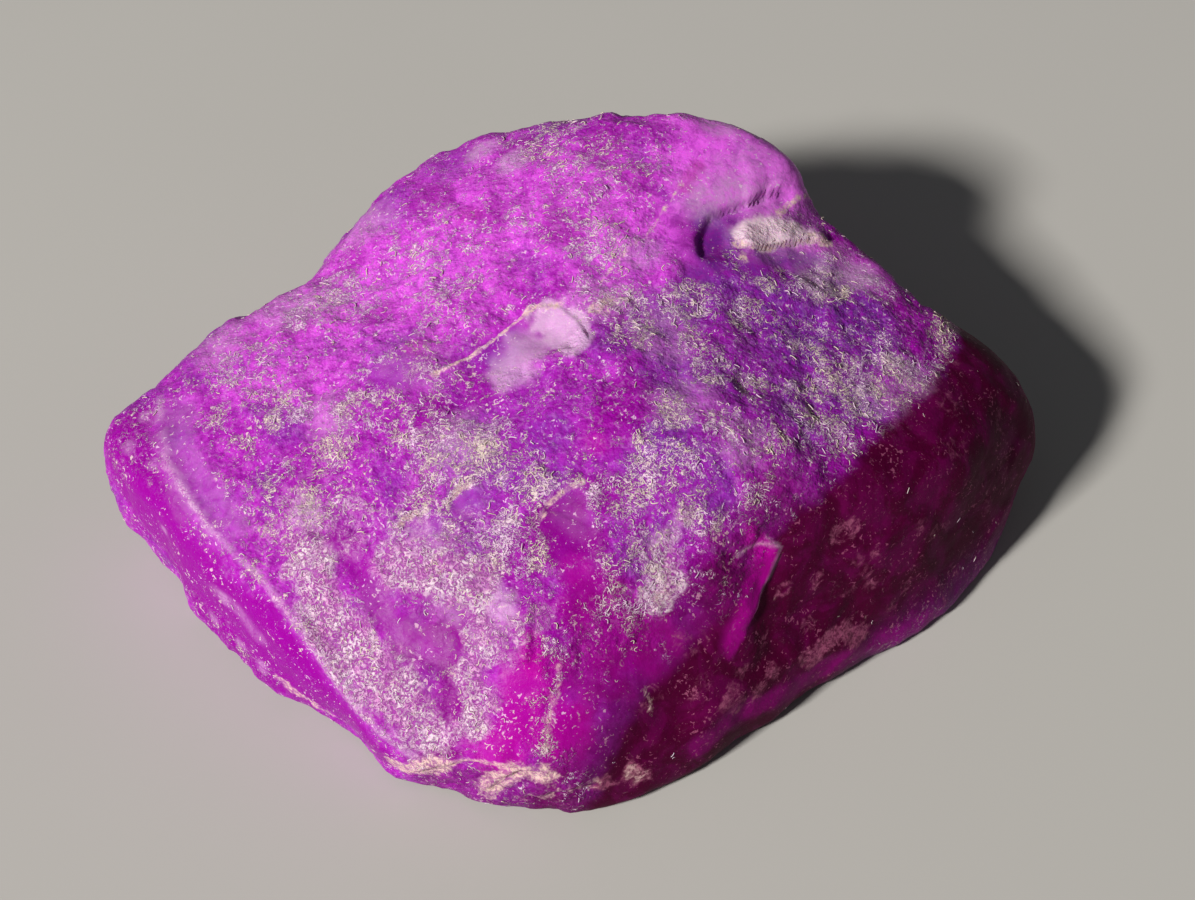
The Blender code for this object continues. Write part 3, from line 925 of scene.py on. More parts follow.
@dataclass(frozen=True)
class SugiliteFinish:
    """Waxy purple stone: magenta and violet, veiled, frosted and flecked with pale fibres.

    The colours come first, then how strongly each fine layer covers the ground, then how its patterns
    are laid out, and last the gloss, the relief and the light that the stone lets in. Some of the colours
    are
    painted light: painted shade, painted shine-through, painted highlights and painted glints.
    """

    magenta: Colour = (0.48, 0.028, 0.53, 1)
    dark_magenta: Colour = (0.31, 0.008, 0.35, 1)
    # real pink, also used as painted light on the notch floor
    pink_and_painted_light: Colour = (0.85, 0.120, 0.89, 1)
    deep: Colour = (0.28, 0.0, 0.29, 1)
    violet: Colour = (0.19, 0.022, 0.34, 1)
    # painted shade: these two dark red-purples stand for the shade on the right face and the front's shaded
    # side
    painted_shade_wine: Colour = (0.070, 0.0, 0.025, 1)
    painted_shade_plum: Colour = (0.130, 0.001, 0.066, 1)
    haze: Colour = (0.56, 0.28, 0.58, 1)
    # painted light: a red magenta that stands for light shining through the stone and for lit edges
    painted_glow: Colour = (0.46, 0.001, 0.32, 1)
    # the chips' real pale violet, also used as a painted highlight on the flake's lit edge
    lavender_and_painted_highlight: Colour = (0.76, 0.50, 0.74, 1)
    # painted shade: the darker colour between the frosted grains
    painted_groove_shade: Colour = (0.36, 0.05, 0.36, 1)
    # pale grains, partly painted glints of sheen
    frost_and_painted_glints: Colour = (0.86, 0.72, 0.80, 1)
    dull_frost: Colour = (0.62, 0.26, 0.56, 1)
    # partly painted light: the wedge's real pale colour, made brighter to make up for shade on it
    chalk_and_painted_light: Colour = (0.95, 0.70, 0.83, 1)
    tan: Colour = (0.76, 0.52, 0.50, 1)
    blotch: Colour = (0.37, 0.09, 0.19, 1)
    cream: Colour = (0.76, 0.62, 0.58, 1)
    lilac: Colour = (0.80, 0.56, 0.78, 1)
    frost_and_glint_cover: float = 0.9
    fleck_cover: float = 0.7
    crust_cover: float = 0.85
    curl_cover: float = 0.95
    crumb_size: float = 0.12
    crumb_weight: float = 1.6  # how much each crumb decides where the crust lies
    crumb_clump_weight: float = 0.8  # how much the clumps of crumbs do
    crumb_demand: float = 0.33  # how much the wish for a crust does
    crumb_clump: float = 6.0  # the width of a clump, in crumbs
    crust_wish: float = 0.7  # how much of the threads' zone counts as a wish for crust
    fleck_clumping: float = 0.4  # how much the flecks gather
    curl_sizes: tuple[float, float] = (0.42, 0.30)  # for the two sets of curls, which cross each other
    curl_clump: float = 1.6  # the width of a clump of curls, in curls
    curl_demand: float = 0.30  # how much the wish for curls decides where they lie
    frost_raggedness: float = 2.4
    patch_raggedness: float = 2.0
    cross_turn: Place = (0.7, 0.4, 1.1)  # turns the patterns that cross the others, in radians
    cross_shift: Place = (5.0, 3.0, 1.0)
    roughness: float = 0.42
    smooth_roughness: float = 0.30
    pale_roughness: float = 0.55
    refraction: float = 1.5
    specular: float = 0.05
    grain_height: float = 0.09
    pale_height: float = 0.6  # how high crust, curls and frost stand, beside the grain's 1
    subsurface: float = 0.15
    subsurface_radius: Place = (1.0, 0.15, 0.7)  # for red, green and blue, as shares of its depth
    subsurface_depth: float = 1.2

    def ground(self, sheet: NodeSheet, place: Socket, open_part: Socket) -> Socket:
        """The stone's own colour, with painted shade on its right face, before its veils and flecks.

        Args:
            sheet: the material's node sheet.
            place: the place in millimetres.
            open_part: how far each place is open stone, not a smooth face.

        Returns:
            The colour.
        """
        broad = sheet.noise(place, size=3.2, detail=3.0, twist=0.4)
        middle = sheet.noise(place, size=0.7, detail=5.0, twist=0.8, rough=0.7)
        colour = sheet.blend(sheet.span(middle, low=0.36, high=0.64), self.dark_magenta, self.magenta)
        colour = sheet.blend(sheet.span(broad, low=0.5, high=0.7, to_high=0.5), colour, self.violet)
        patchy = sheet.span(middle, low=0.34, high=0.58, to_low=0.4)
        even = sheet.span(middle, low=0.34, high=0.58, to_low=0.94)
        for zone, tint, gate in (
            # real pink, and painted light on the notch floor
            (Zone.PINK_AND_PAINTED_LIGHT, self.pink_and_painted_light, patchy),
            (Zone.VIOLET, self.violet, patchy),
            (Zone.DEEP, self.deep, even),
        ):
            share = sheet.times(sheet.attribute(zone), gate)
            colour = sheet.blend(share, colour, tint)
        fine = sheet.noise(place, size=0.3, detail=3.0, twist=1.0, rough=0.65)
        veil = sheet.times(sheet.span(fine, low=0.34, high=0.5, to_low=0.25, to_high=0.0), open_part)
        calm = sheet.span(sheet.attribute(Zone.PINK_AND_PAINTED_LIGHT), low=0.0, high=1.0, to_low=1.0, to_high=0.4)
        speckle = sheet.times(sheet.span(fine, low=0.5, high=0.66, to_high=0.6), calm)
        colour = sheet.blend(speckle, colour, self.dark_magenta)
        colour = sheet.blend(veil, colour, self.haze)
        # painted shade: where the shade zone lies, the colour turns to dark red-purple clouds
        clouds = sheet.noise(place, size=2.0, detail=4.0, twist=0.8, rough=0.6)
        dark = sheet.blend(sheet.span(clouds, low=0.42, high=0.62, to_high=0.8), self.painted_shade_wine, self.painted_shade_plum)
        return sheet.blend(sheet.attribute(Zone.PAINTED_SHADE), colour, dark)

    def crumbs(self, sheet: NodeSheet, place: Socket, size: float, wanted: Socket) -> Socket:
        """A crust of fine crooked crumbs.

        Args:
            sheet: the material's node sheet.
            place: the place in millimetres.
            size: the width of one crumb.
            wanted: how dense the crust is.

        Returns:
            How far each place is covered.
        """
        fine = sheet.noise(place, size, detail=3.0, twist=1.2, rough=0.6)
        clump = sheet.noise(place, self.crumb_clump * size, detail=3.0, twist=0.6)
        gate = sheet.plus(sheet.times(fine, self.crumb_weight), sheet.times(clump, self.crumb_clump_weight))
        gate = sheet.plus(gate, sheet.times(wanted, self.crumb_demand))
        return sheet.span(gate, low=1.48, high=1.60)

    def flecks(self, sheet: NodeSheet, place: Socket) -> Socket:
        """Sparse small flecks that lie on every part of the stone.

        Args:
            sheet: the material's node sheet.
            place: the place in millimetres.

        Returns:
            How far each place is covered.
        """
        fine = sheet.noise(place, size=0.2, detail=2.0, twist=0.8)
        clump = sheet.noise(place, size=1.7, detail=3.0, twist=0.4)
        gate = sheet.plus(fine, sheet.times(clump, self.fleck_clumping))
        return sheet.span(gate, low=0.85, high=0.91)

    def curls(self, sheet: NodeSheet, place: Socket, size: float, wanted: Socket) -> Socket:
        """Short curly lines.

        Args:
            sheet: the material's node sheet.
            place: the place in millimetres.
            size: how far apart they lie.
            wanted: how many of them show.

        Returns:
            How far each place is covered.
        """
        swirl = sheet.noise(place, size, detail=1.5, twist=1.8)
        off = sheet.reckon("ABSOLUTE", sheet.minus(swirl, 0.5))
        thin = sheet.span(off, low=0.012, high=0.04, to_low=1.0, to_high=0.0)
        clump = sheet.noise(place, self.curl_clump * size, detail=2.0)
        gate = sheet.plus(clump, sheet.times(wanted, self.curl_demand))
        return sheet.times(thin, sheet.span(gate, low=0.60, high=0.70))

    def grit(self, sheet: NodeSheet, place: Socket) -> tuple[Socket, Socket]:
        """A dense pale frosting with crooked grooves between its grains. Its pale grains are partly painted
        glints.

        Args:
            sheet: the material's node sheet.
            place: the place in millimetres.

        Returns:
            How far each place belongs to the frost, and how high its grains stand.
        """
        edge = sheet.noise(place, size=0.7, detail=5.0, twist=0.8, rough=0.7)
        uneven = sheet.about_zero(edge, self.frost_raggedness)
        wanted = sheet.attribute(Zone.FROST_AND_PAINTED_GLINTS)
        cover = sheet.span(sheet.plus(wanted, uneven), low=0.15, high=1.15)
        cover = sheet.times(cover, sheet.span(wanted, low=0.0, high=0.15))
        grains = sheet.noise(place, size=0.25, detail=3.0, twist=1.8, rough=0.6)
        return cover, sheet.span(grains, low=0.38, high=0.60)

    def veiled(self, sheet: NodeSheet, colour: Socket, place: Socket) -> Socket:
        """Lays the veils, the painted light on the front, flake and wedge, and the ragged patches over the
        ground.

        Args:
            sheet: the material's node sheet.
            colour: the ground's colour.
            place: the place in millimetres.

        Returns:
            The colour with them.
        """
        mottle = sheet.noise(place, size=0.5, detail=4.0, twist=0.8, rough=0.6)
        patchy = sheet.span(mottle, low=0.32, high=0.58, to_low=0.35)
        streaky = sheet.span(mottle, low=0.3, high=0.7, to_low=0.8)
        crumbs = sheet.noise(place, size=0.22, detail=3.0, twist=1.0, rough=0.6)
        crumbly = sheet.span(crumbs, low=0.38, high=0.6, to_low=0.3)
        uneven = sheet.about_zero(mottle, self.patch_raggedness)
        for zone, tint, share, ragged in (
            (Zone.HAZE, self.haze, patchy, False),
            # painted light that seems to shine through the stone, and painted highlights on edges
            (Zone.GLOW, self.painted_glow, streaky, False),
            # real pale violet chips, and a painted highlight on the flake's edge
            (Zone.LAVENDER_AND_PAINTED_HIGHLIGHT, self.lavender_and_painted_highlight, streaky, False),
            # partly painted light: the wedge's pale colour, brightened
            (Zone.CHALK_AND_PAINTED_LIGHT, self.chalk_and_painted_light, streaky, False),
            (Zone.BLOTCH, self.blotch, crumbly, True),
            (Zone.TAN, self.tan, crumbly, True),
        ):
            cover = sheet.attribute(zone)
            if ragged:
                cover = sheet.span(sheet.plus(cover, uneven), low=0.30, high=0.95)
            colour = sheet.blend(sheet.times(cover, share), colour, tint)
        return colour

    def make(self) -> bpy.types.Material:
        """Builds the material.

        Returns:
            The material.
        """
        material, sheet, shader = new_material("sugilite_stone")
        place = sheet.place_in_mm()
        turned = sheet.place_in_mm(self.cross_turn, self.cross_shift)
        open_part = sheet.minus(1.0, sheet.attribute(Zone.SMOOTH))
        threads = sheet.attribute(Zone.THREADS)
        crust = self.crumbs(sheet, place, self.crumb_size, sheet.times(threads, self.crust_wish))
        crust = sheet.times(crust, sheet.span(open_part, low=0.05, high=0.7, to_low=0.3))
        first = self.curls(sheet, place, self.curl_sizes[0], threads)
        second = self.curls(sheet, turned, self.curl_sizes[1], threads)
        curls = sheet.times(sheet.larger(first, second), sheet.span(open_part, low=0.1, high=0.7))
        warm = sheet.span(sheet.noise(turned, size=1.6, detail=2.0), low=0.4, high=0.6)
        cool = sheet.span(sheet.attribute(Zone.PINK_AND_PAINTED_LIGHT), low=0.1, high=0.6, to_low=1.0, to_high=0.15)
        warm = sheet.times(warm, cool)

        colour = self.ground(sheet, place, open_part)
        colour = self.veiled(sheet, colour, place)
        pale_tint = sheet.blend(warm, self.lilac, self.cream)
        # painted shade: in the shade zone the crust and flecks take the darker blotch colour
        crust_tint = sheet.blend(sheet.attribute(Zone.PAINTED_SHADE), pale_tint, self.blotch)
        # partly painted glints: the pale frosted grains stand in part for sparkles of sheen
        cover, grains = self.grit(sheet, place)
        clouds = sheet.noise(turned, size=1.0, detail=4.0, twist=0.5, rough=0.6)
        frost_and_glint_tint = sheet.blend(sheet.span(clouds, low=0.38, high=0.60), self.dull_frost, self.frost_and_painted_glints)
        # painted shade between the frosted grains
        frost_and_glint_tint = sheet.blend(grains, self.painted_groove_shade, frost_and_glint_tint)
        colour = sheet.blend(sheet.times(cover, self.frost_and_glint_cover), colour, frost_and_glint_tint)
        flecks = self.flecks(sheet, turned)
        colour = sheet.blend(sheet.times(flecks, self.fleck_cover), colour, crust_tint)
        colour = sheet.blend(sheet.times(crust, self.crust_cover), colour, crust_tint)
        colour = sheet.blend(sheet.times(curls, self.curl_cover), colour, pale_tint)

        pale = sheet.larger(sheet.larger(crust, curls), sheet.times(cover, grains))
        waxy = sheet.span(open_part, 0.0, 1.0, self.smooth_roughness, self.roughness, ramp="LINEAR")
        dull = sheet.between(pale, waxy, self.pale_roughness)
        dark_dull = sheet.times(sheet.attribute(Zone.PAINTED_SHADE), self.pale_roughness)

        grain = sheet.noise(place, size=0.2, detail=3.0)
        height = sheet.plus(grain, sheet.times(pale, self.pale_height))
        height = sheet.times(height, sheet.span(open_part, low=0.0, high=1.0, to_low=0.25))
        plugs = {
            "Base Color": colour,
            "Roughness": sheet.larger(dull, dark_dull),
            "Normal": sheet.bump(1.0, self.grain_height, height),
            "IOR": self.refraction,
            "Specular IOR Level": self.specular,
            "Subsurface Weight": self.subsurface,
            "Subsurface Radius": self.subsurface_radius,
            "Subsurface Scale": self.subsurface_depth * MM,
        }
        sheet.plug(shader, plugs)
        return material


@dataclass(frozen=True)
class FibreFinish:
    """Dull cream to pale lilac fibres."""

    cream: Colour = (0.70, 0.60, 0.50, 1)
    lilac: Colour = (0.74, 0.56, 0.72, 1)
    dirt: Colour = (0.42, 0.28, 0.22, 1)
    roughness: float = 0.6
    roughness_spread: float = 0.1
    relief: float = 0.3  # how strong the fine relief shows, 0 to 1
    relief_height: float = 0.02

    def make(self) -> bpy.types.Material:
        """Builds the material.

        Returns:
            The material.
        """
        material, sheet, shader = new_material("pale_fibre")
        place = sheet.place_in_mm()
        warm = sheet.span(sheet.noise(place, size=2.2, detail=2.0), low=0.4, high=0.6)
        colour = sheet.blend(warm, self.lilac, self.cream)
        dirty = sheet.span(sheet.noise(place, size=0.7, detail=2.0), low=0.56, high=0.75, to_high=0.6)
        colour = sheet.blend(dirty, colour, self.dirt)
        grain = sheet.noise(place, size=0.05, detail=2.0)
        least, most = self.roughness - self.roughness_spread, self.roughness + self.roughness_spread
        rough = sheet.span(grain, low=0.3, high=0.7, to_low=least, to_high=most)
        bump = sheet.bump(self.relief, self.relief_height, grain)
        sheet.plug(shader, {"Base Color": colour, "Roughness": rough, "Normal": bump})
        return material


@dataclass
class Stone:
    """The stone's skin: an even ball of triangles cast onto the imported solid, then worked in detail."""

    parts: int = 97  # parts along each edge of the starting icosahedron
    spread: Place = (6.5, 5.7, 3.6)  # stretches the ball so that the triangles come out even
    lift: float = 1.0  # gives the top more triangles than the underside
    heart: Place = (-0.1, -2.4, 6.0)  # the place inside that the ball is cast from
    datum: Place = (-0.17, 0.0, 0.0)  # where the markings' own origin lies
    guide_levels: int = 2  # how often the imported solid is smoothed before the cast
    ledges: tuple[Ledge, ...] = LEDGES
    creases: tuple[Crease, ...] = CREASES
    smooth_calm: float = 0.85  # how much of the fine shapes a smooth face loses
    facets_kept: float = 0.5  # the share of the broad break faces that shows where it is smooth
    waves_kept: float = 0.4  # the share of the waves that shows there
    waves: Lumps = Lumps(size=1.8, height=0.06, seed=2.0)
    pits: Lumps = Lumps(size=0.7, height=2.5, seed=6.0, octaves=2)
    pit_level: float = 0.6  # the pits are where their pattern stands above this
    pit_depth: float = 0.05
    grain: Lumps = Lumps(size=0.5, height=0.05, seed=3.0, octaves=2)
    wavy_edge: Lumps = Lumps(size=1.3, height=0.30, seed=5.0)  # makes the markings' outlines uneven
    frayed_edge: Lumps = Lumps(size=0.45, height=0.16, seed=8.0, octaves=2)
    clumps: Lumps = Lumps(size=1.5, height=1.1, seed=11.0)  # gathers the threads
    sparse_threads: float = 0.35  # the share of the threads that is left between clumps
    clumped_threads: float = 0.9  # the share that a clump adds to it
    stray_threads: float = 0.08  # the share that a clump adds where none are marked
    zones: dict[Zone, np.ndarray] = field(default_factory=dict)

    def ball(self) -> tuple[np.ndarray, np.ndarray]:
        """An icosahedron with each face parted evenly.

        Returns:
            The places of its corners on a unit ball, and its triangles.
        """
        shape = bmesh.new()
        bmesh.ops.create_icosphere(shape, subdivisions=1, radius=1.0)
        shape.faces.ensure_lookup_table()
        faces = [[vert.co.copy() for vert in face.verts] for face in shape.faces]
        shape.free()
        count = self.parts
        rows = [(i, j) for i in range(count + 1) for j in range(count + 1 - i)]
        number = {row: index for index, row in enumerate(rows)}
        shares = np.array([(count - i - j, i, j) for i, j in rows]) / count
        cells = [
            (number[i, j], number[i + 1, j], number[i, j + 1])
            for i in range(count)
            for j in range(count - i)
        ]
        cells += [
            (number[i + 1, j], number[i + 1, j + 1], number[i, j + 1])
            for i in range(count - 1)
            for j in range(count - 1 - i)
        ]
        places = np.concatenate([shares @ np.array(corners) for corners in faces])
        cells = np.concatenate([np.array(cells) + len(rows) * index for index in range(len(faces))])
        rounded = np.round(places, MERGE_DIGITS)
        _, first, merged = np.unique(rounded, axis=0, return_index=True, return_inverse=True)
        places = places[first]
        return places / np.linalg.norm(places, axis=1)[:, None], merged.ravel()[cells]

    def guide(self) -> BVHTree:
        """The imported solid, merged and smoothed, as a tree to cast onto.

        Returns:
            The tree, in millimetres.
        """
        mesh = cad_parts[NODE].data.copy()
        shape = bmesh.new()
        shape.from_mesh(mesh)
        bmesh.ops.remove_doubles(shape, verts=shape.verts[:], dist=MERGE_GAP * MM)
        shape.to_mesh(mesh)
        shape.free()
        smooth = new_object("guide", mesh)
        levels = smooth.modifiers.new("smooth", "SUBSURF")
        levels.levels = levels.render_levels = self.guide_levels
        result = smooth.evaluated_get(bpy.context.evaluated_depsgraph_get()).to_mesh()
        corners = [vert.co / MM for vert in result.vertices]
        tree = BVHTree.FromPolygons(corners, [tuple(face.vertices) for face in result.polygons])
        bpy.data.objects.remove(smooth)
        return tree

    def cast(self, ball: np.ndarray) -> np.ndarray:
        """Casts the ball onto the guide.

        Args:
            ball: places on a unit ball.

        Returns:
            The places on the stone.
        """
        tree = self.guide()
        ways = ball * self.spread + (0, 0, self.lift)
        ways /= np.linalg.norm(ways, axis=1)[:, None]
        heart = Vector(self.heart)
        return np.array([tree.ray_cast(heart, Vector(way))[0] for way in ways])

    def mark(self, points: np.ndarray, normals: np.ndarray) -> None:
        """Works out every zone's share at each point.

        Args:
            points: places on the stone, one a row.
            normals: the outward way at each point.
        """
        ragged = self.wavy_edge.at(points) + self.frayed_edge.at(points)
        for zone, markings in MARKINGS.items():
            left = np.ones(len(points))
            for marking in markings:
                left *= 1 - np.clip(marking.cover(points, normals, ragged), 0, 1)
            self.zones[zone] = 1 - left
        clumps = ease(0.5 + self.clumps.at(points))
        self.zones[Zone.THREADS] *= self.sparse_threads + self.clumped_threads * clumps
        self.zones[Zone.THREADS] += self.stray_threads * clumps

    def relief(self, points: np.ndarray, normals: np.ndarray) -> np.ndarray:
        """How far the fine shapes move each point outwards.

        Args:
            points: places on the stone, one a row.
            normals: the outward way at each point.

        Returns:
            One length a point.
        """
        rough = 1 - self.smooth_calm * self.zones[Zone.SMOOTH]
        worked = sum(shape.lift(points, normals) for shape in (*self.ledges, *self.creases))
        broken = BROAD_FACETS.lift(points) * toned_down(rough, self.facets_kept)
        broken = broken + FINE_FACETS.lift(points) * rough
        waves = self.waves.at(points) * toned_down(rough, self.waves_kept)
        pits = -self.pit_depth * ease(self.pits.at(points) - self.pit_level) * rough
        return worked + broken + waves + pits + self.grain.at(points) * rough

    def build(self) -> bpy.types.Object:
        """Builds the stone's object.

        Returns:
            The finished piece, with its zones as attributes.
        """
        ball, cells = self.ball()
        points = self.cast(ball)
        mesh = bpy.data.meshes.new("stone_skin")
        mesh.from_pydata(points.tolist(), [], cells.tolist())
        normals = np.zeros(points.size)
        mesh.vertex_normals.foreach_get("vector", normals)
        normals = normals.reshape(-1, 3)
        surveyed = points - self.datum
        self.mark(surveyed, normals)
        points = points + normals * self.relief(surveyed, normals)[:, None]
        low, high = (np.array(corner) / MM for corner in cad_box)
        points = np.clip(points, low + (BOX_MARGIN, BOX_MARGIN, 0.0), high - BOX_MARGIN)
        mesh.vertices.foreach_set("co", (points * MM).ravel())
        mesh.update()
        mesh.shade_smooth()
        for zone, shares in self.zones.items():
            carried = mesh.attributes.new(zone.value, "FLOAT", "POINT")
            carried.data.foreach_set("value", np.clip(shares, 0, 1).astype(np.float32))
        return new_object("stone_skin", mesh)


@dataclass
class Fibres:
    """Fine curly fibres that lie on the stone, laid by a tree of Geometry Nodes."""

    per_square_mm: float = 14.0
    length: float = 0.24
    radius: float = 0.022
    sink: float = 0.008
    seed: int = 7
    frost_share: float = 0.3  # how many lie on frost, as a share of those on threads
    least_size: float = 0.55  # the smallest fibre's size, as a share of the usual one
    greatest_size: float = 1.35  # the largest one's
    tilt: float = 0.25  # how far a fibre leans from the surface at the most, in radians
    bends: tuple[tuple[Place, Place], ...] = (
        ((0.1, 0.75, 0.1), (1.0, 0.15, 0.0)),
        ((0.5, 0.9, 0.15), (0.7, -0.2, 0.0)),
        ((0.4, -0.5, 0.1), (0.9, 0.5, 0.05)),
        ((0.45, 0.12, 0.2), (1.2, 0.0, 0.0)),
        ((0.3, 0.5, 0.0), (0.2, 0.8, 0.1)),
    )  # each variant's middle handle and far end, as shares of the length
    bend_parts: int = 3  # straight parts along a fibre
    sides: int = 3  # sides of a fibre

    def variant(self, sheet: NodeSheet, bend: tuple[Place, Place], length: Socket, radius: Socket) -> Socket:
        """One bent fibre as an instance.

        Args:
            sheet: the tree's node sheet.
            bend: the fibre's middle handle and far end, as shares of its length.
            length: the fibre's length in metres.
            radius: the fibre's radius in metres.

        Returns:
            The instance.
        """
        middle, end = bend
        curve = sheet.add(
            "GeometryNodeCurveQuadraticBezier",
            {"Resolution": self.bend_parts, "Start": (0, 0, 0), "Middle": middle, "End": end},
        ).outputs[0]
        scaled = sheet.add("GeometryNodeTransform", {"Geometry": curve, "Scale": length}).outputs[0]
        profile = sheet.add("GeometryNodeCurvePrimitiveCircle", {"Resolution": self.sides, "Radius": radius})
        tube = sheet.add(
            "GeometryNodeCurveToMesh",
            {"Curve": scaled, "Profile Curve": profile.outputs[0], "Fill Caps": True},
        ).outputs[0]
        return sheet.add("GeometryNodeGeometryToInstance", {0: tube}).outputs[0]

    def scatter(self, sheet: NodeSheet, given: bpy.types.NodeOutputs) -> tuple[Socket, Socket]:
        """Scatters places for the fibres over the stone.

        Args:
            sheet: the tree's node sheet.
            given: the tree's inputs.

        Returns:
            The places, a little inside the surface, and the way that each one faces.
        """
        wanted, frosted, smooth = (
            sheet.add("GeometryNodeInputNamedAttribute", {"Name": zone.value}).outputs[0]
            for zone in (Zone.THREADS, Zone.FROST_AND_PAINTED_GLINTS, Zone.SMOOTH)
        )
        share = sheet.plus(wanted, sheet.times(frosted, self.frost_share))
        share = sheet.times(share, sheet.minus(1.0, smooth))
        points = sheet.add(
            "GeometryNodeDistributePointsOnFaces",
            {
                "Mesh": given["Stone"],
                "Density": sheet.times(share, given["Per square metre"]),
                "Seed": given["Seed"],
            },
            distribute_method="RANDOM",
        ).outputs
        inwards = sheet.add(
            "ShaderNodeVectorMath",
            {0: points["Normal"], "Scale": sheet.times(given["Sink"], -1.0)},
            operation="SCALE",
        ).outputs[0]
        sunk = sheet.add("GeometryNodeSetPosition", {"Geometry": points["Points"], "Offset": inwards})
        return sunk.outputs[0], points["Rotation"]

    def tree(self, material: bpy.types.Material) -> bpy.types.NodeTree:
        """Builds the tree of nodes.

        Args:
            material: the fibres' finish.

        Returns:
            The tree, with its sizes as named inputs.
        """
        tree = bpy.data.node_groups.new("lay_fibres", "GeometryNodeTree")
        tree.interface.new_socket("Stone", in_out="INPUT", socket_type="NodeSocketGeometry")
        for name in ("Per square metre", "Length", "Radius", "Sink"):
            tree.interface.new_socket(name, in_out="INPUT", socket_type="NodeSocketFloat")
        tree.interface.new_socket("Seed", in_out="INPUT", socket_type="NodeSocketInt")
        tree.interface.new_socket("Fibres", in_out="OUTPUT", socket_type="NodeSocketGeometry")
        sheet = NodeSheet(tree)
        given = sheet.add("NodeGroupInput").outputs
        places, facing = self.scatter(sheet, given)
        variants = sheet.add("GeometryNodeJoinGeometry")
        for bend in reversed(self.bends):
            made = self.variant(sheet, bend, given["Length"], given["Radius"])
            tree.links.new(made, variants.inputs[0])
        choice = sheet.draw(Draw.WHOLE_NUMBER, 0, len(self.bends) - 1, given["Seed"])
        size = sheet.draw(Draw.NUMBER, self.least_size, self.greatest_size, given["Seed"])
        laid = sheet.add(
            "GeometryNodeInstanceOnPoints",
            {
                "Points": places,
                "Instance": variants.outputs[0],
                "Pick Instance": True,
                "Instance Index": choice,
                "Rotation": facing,
                "Scale": size,
            },
        ).outputs[0]
        least, most = (-self.tilt, -self.tilt, 0.0), (self.tilt, self.tilt, 2 * math.pi)
        spin = sheet.draw(Draw.PLACE, least, most, given["Seed"])
        turned = sheet.add(
            "GeometryNodeRotateInstances", {"Instances": laid, "Rotation": spin, "Local Space": True}
        ).outputs[0]
        real = sheet.add("GeometryNodeRealizeInstances", {"Geometry": turned}).outputs[0]
        dressed = sheet.add("GeometryNodeSetMaterial", {"Geometry": real, "Material": material}).outputs[0]
        sheet.add("NodeGroupOutput", {0: dressed})
        return tree

    def build(self, stone: bpy.types.Object, material: bpy.types.Material) -> bpy.types.Object:
        """Lays the fibres over the stone.

        Args:
            stone: the stone's finished piece.
            material: the fibres' finish.

        Returns:
            The fibres as one plain mesh object.
        """
        carrier = new_object("fibre_carrier", stone.data.copy())
        tree = self.tree(material)
        laying = carrier.modifiers.new("lay_fibres", "NODES")
        laying.node_group = tree
        sizes = {
            "Per square metre": self.per_square_mm / MM**2,
            "Length": self.length * MM,
            "Radius": self.radius * MM,
            "Sink": self.sink * MM,
            "Seed": self.seed,
        }
        for item in tree.interface.items_tree:
            if item.in_out == "INPUT" and item.name in sizes:
                laying[item.identifier] = sizes[item.name]
        carrier.data.update()
        result = carrier.evaluated_get(bpy.context.evaluated_depsgraph_get())
        mesh = bpy.data.meshes.new_from_object(result)
        bpy.data.objects.remove(carrier)
        mesh.name = "pale_fibres"
        self.keep_inside(mesh)
        return new_object("pale_fibres", mesh)

    def keep_inside(self, mesh: bpy.types.Mesh) -> None:
        """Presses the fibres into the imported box.

        Args:
            mesh: the fibres' mesh, in metres.
        """
        places = np.zeros(len(mesh.vertices) * 3)
        mesh.vertices.foreach_get("co", places)
        low, high = (np.array(corner) for corner in cad_box)
        mesh.vertices.foreach_set("co", np.clip(places.reshape(-1, 3), low, high).ravel())
        mesh.update()


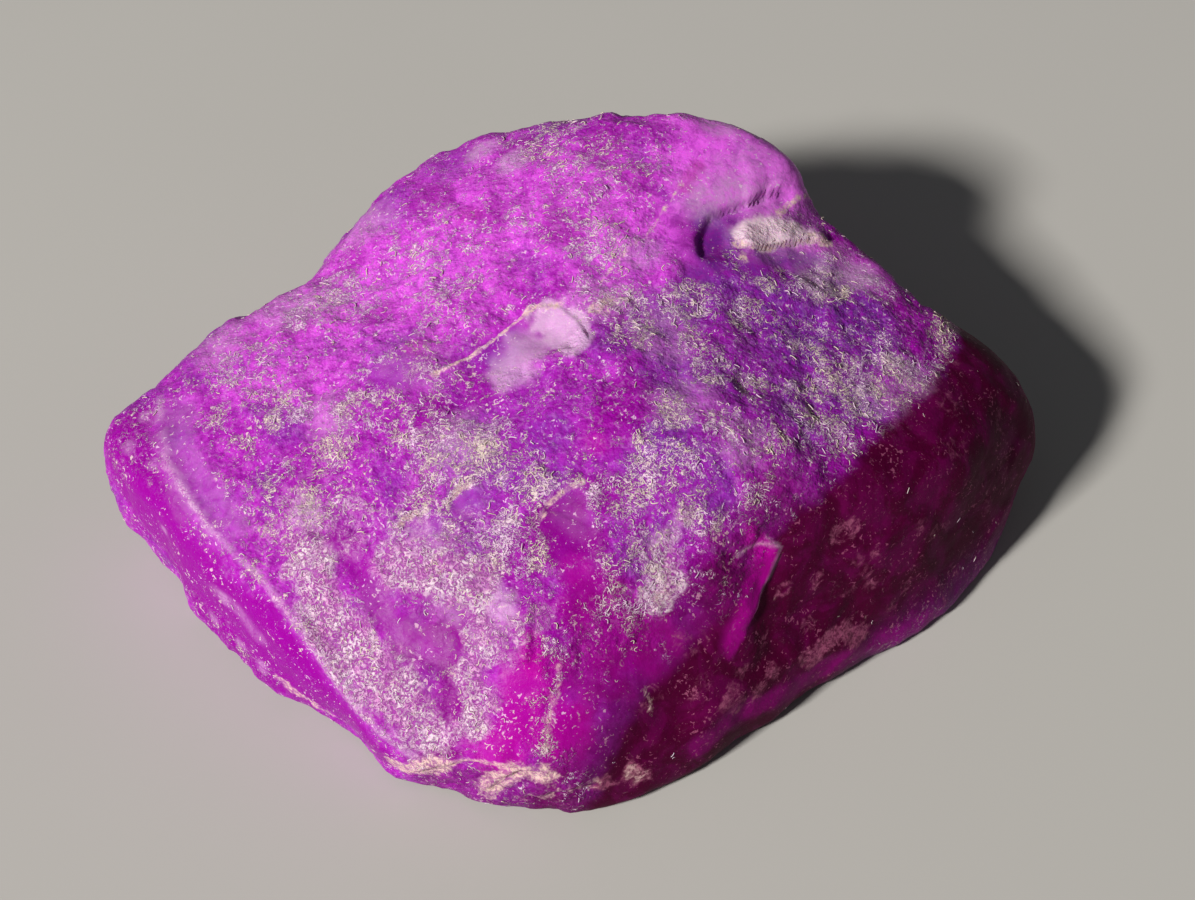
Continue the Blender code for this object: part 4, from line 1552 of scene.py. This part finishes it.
@dataclass
class Studio:
    """A pale floor, one soft key light, a dim even fill and the camera. Angles are in degrees."""

    target: Place = (1.24, -1.04, 6.0)  # the place that the camera and the key light look at
    azimuth: float = -90.0
    elevation: float = 50.0
    distance: float = 116.0
    lens: float = 70.0
    nearest_m: float = 0.001  # the camera shows nothing closer than this, in metres
    key_azimuth: float = 222.0
    key_elevation: float = 36.0
    key_distance: float = 1500.0
    key_size: float = 210.0
    key_watts: float = 32.0
    key_colour: Place = (1.0, 0.97, 0.92)
    fill: float = 0.08
    fill_colour: Colour = (0.92, 0.95, 1.0, 1)
    floor_half: float = 1500.0
    floor_drop: float = 0.02
    floor_colour: Colour = (0.50, 0.49, 0.47, 1)
    floor_shade: float = 0.94  # how dark the floor's faint clouds are, as a share of its colour
    cloud_size: float = 40.0
    floor_roughness: float = 0.95
    floor_specular: float = 0.05

    def towards(self, azimuth: float, elevation: float) -> Vector:
        """The way to a place in the sky.

        Args:
            azimuth: 0 towards +X and 90 towards +Y.
            elevation: 0 on the horizon and 90 overhead.

        Returns:
            The way, one long.
        """
        azimuth, elevation = math.radians(azimuth), math.radians(elevation)
        flat = math.cos(elevation)
        return Vector((flat * math.cos(azimuth), flat * math.sin(azimuth), math.sin(elevation)))

    def aim(self, item: bpy.types.Object, way: Vector, distance: float) -> None:
        """Puts a light or camera along a way from the target, looking back at it."""
        item.location = (Vector(self.target) + way * distance) * MM
        item.rotation_euler = way.to_track_quat("Z", "Y").to_euler()

    def lay_floor(self) -> None:
        """Builds the floor."""
        material, sheet, shader = new_material("pale_floor")
        cloud = sheet.noise(sheet.place_in_mm(), size=self.cloud_size, detail=3.0)
        darker = tuple(self.floor_shade * part for part in self.floor_colour[:3]) + (1,)
        colour = sheet.blend(cloud, darker, self.floor_colour)
        plugs = {"Base Color": colour, "Roughness": self.floor_roughness}
        sheet.plug(shader, plugs | {"Specular IOR Level": self.floor_specular})
        half, drop = self.floor_half * MM, -self.floor_drop * MM
        corners = [(-half, -half, drop), (half, -half, drop), (half, half, drop), (-half, half, drop)]
        mesh = bpy.data.meshes.new("floor")
        mesh.from_pydata(corners, [], [(0, 1, 2, 3)])
        mesh.materials.append(material)
        floor = new_object("floor", mesh)

    def light(self) -> None:
        """Builds the key light and the fill."""
        key = bpy.data.lights.new("key", "AREA")
        key.size = self.key_size * MM
        key.energy = self.key_watts
        key.color = self.key_colour
        way = self.towards(self.key_azimuth, self.key_elevation)
        self.aim(new_object("key", key), way, self.key_distance)
        world = bpy.data.worlds.new("fill")
        world.use_nodes = True
        background = world.node_tree.nodes["Background"]
        background.inputs["Color"].default_value = self.fill_colour
        background.inputs["Strength"].default_value = self.fill
        bpy.context.scene.world = world

    def build(self) -> None:
        """Builds the floor, the lights and the camera."""
        self.lay_floor()
        self.light()
        lens = bpy.data.cameras.new("camera")
        lens.lens = self.lens
        lens.clip_start = self.nearest_m
        camera = new_object("camera", lens)
        self.aim(camera, self.towards(self.azimuth, self.elevation), self.distance)
        bpy.context.scene.camera = camera
        bpy.context.scene.view_settings.view_transform = "Standard"


def report(piece: bpy.types.Object) -> None:
    """Logs a piece's triangles."""
    count = sum(len(face.vertices) - 2 for face in piece.data.polygons)
    log.info("%s: %d triangles", piece.name, count)


def main() -> None:
    logging.basicConfig(level=logging.INFO, format="%(name)s: %(message)s")
    Studio().build()
    stone = Stone().build()
    stone.data.materials.append(SugiliteFinish().make())
    fibres = Fibres().build(stone, FibreFinish().make())
    for piece in (stone, fibres):
        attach(piece, BODY)
        report(piece)
    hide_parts(NODE)


if __name__ == "__main__":
    main()
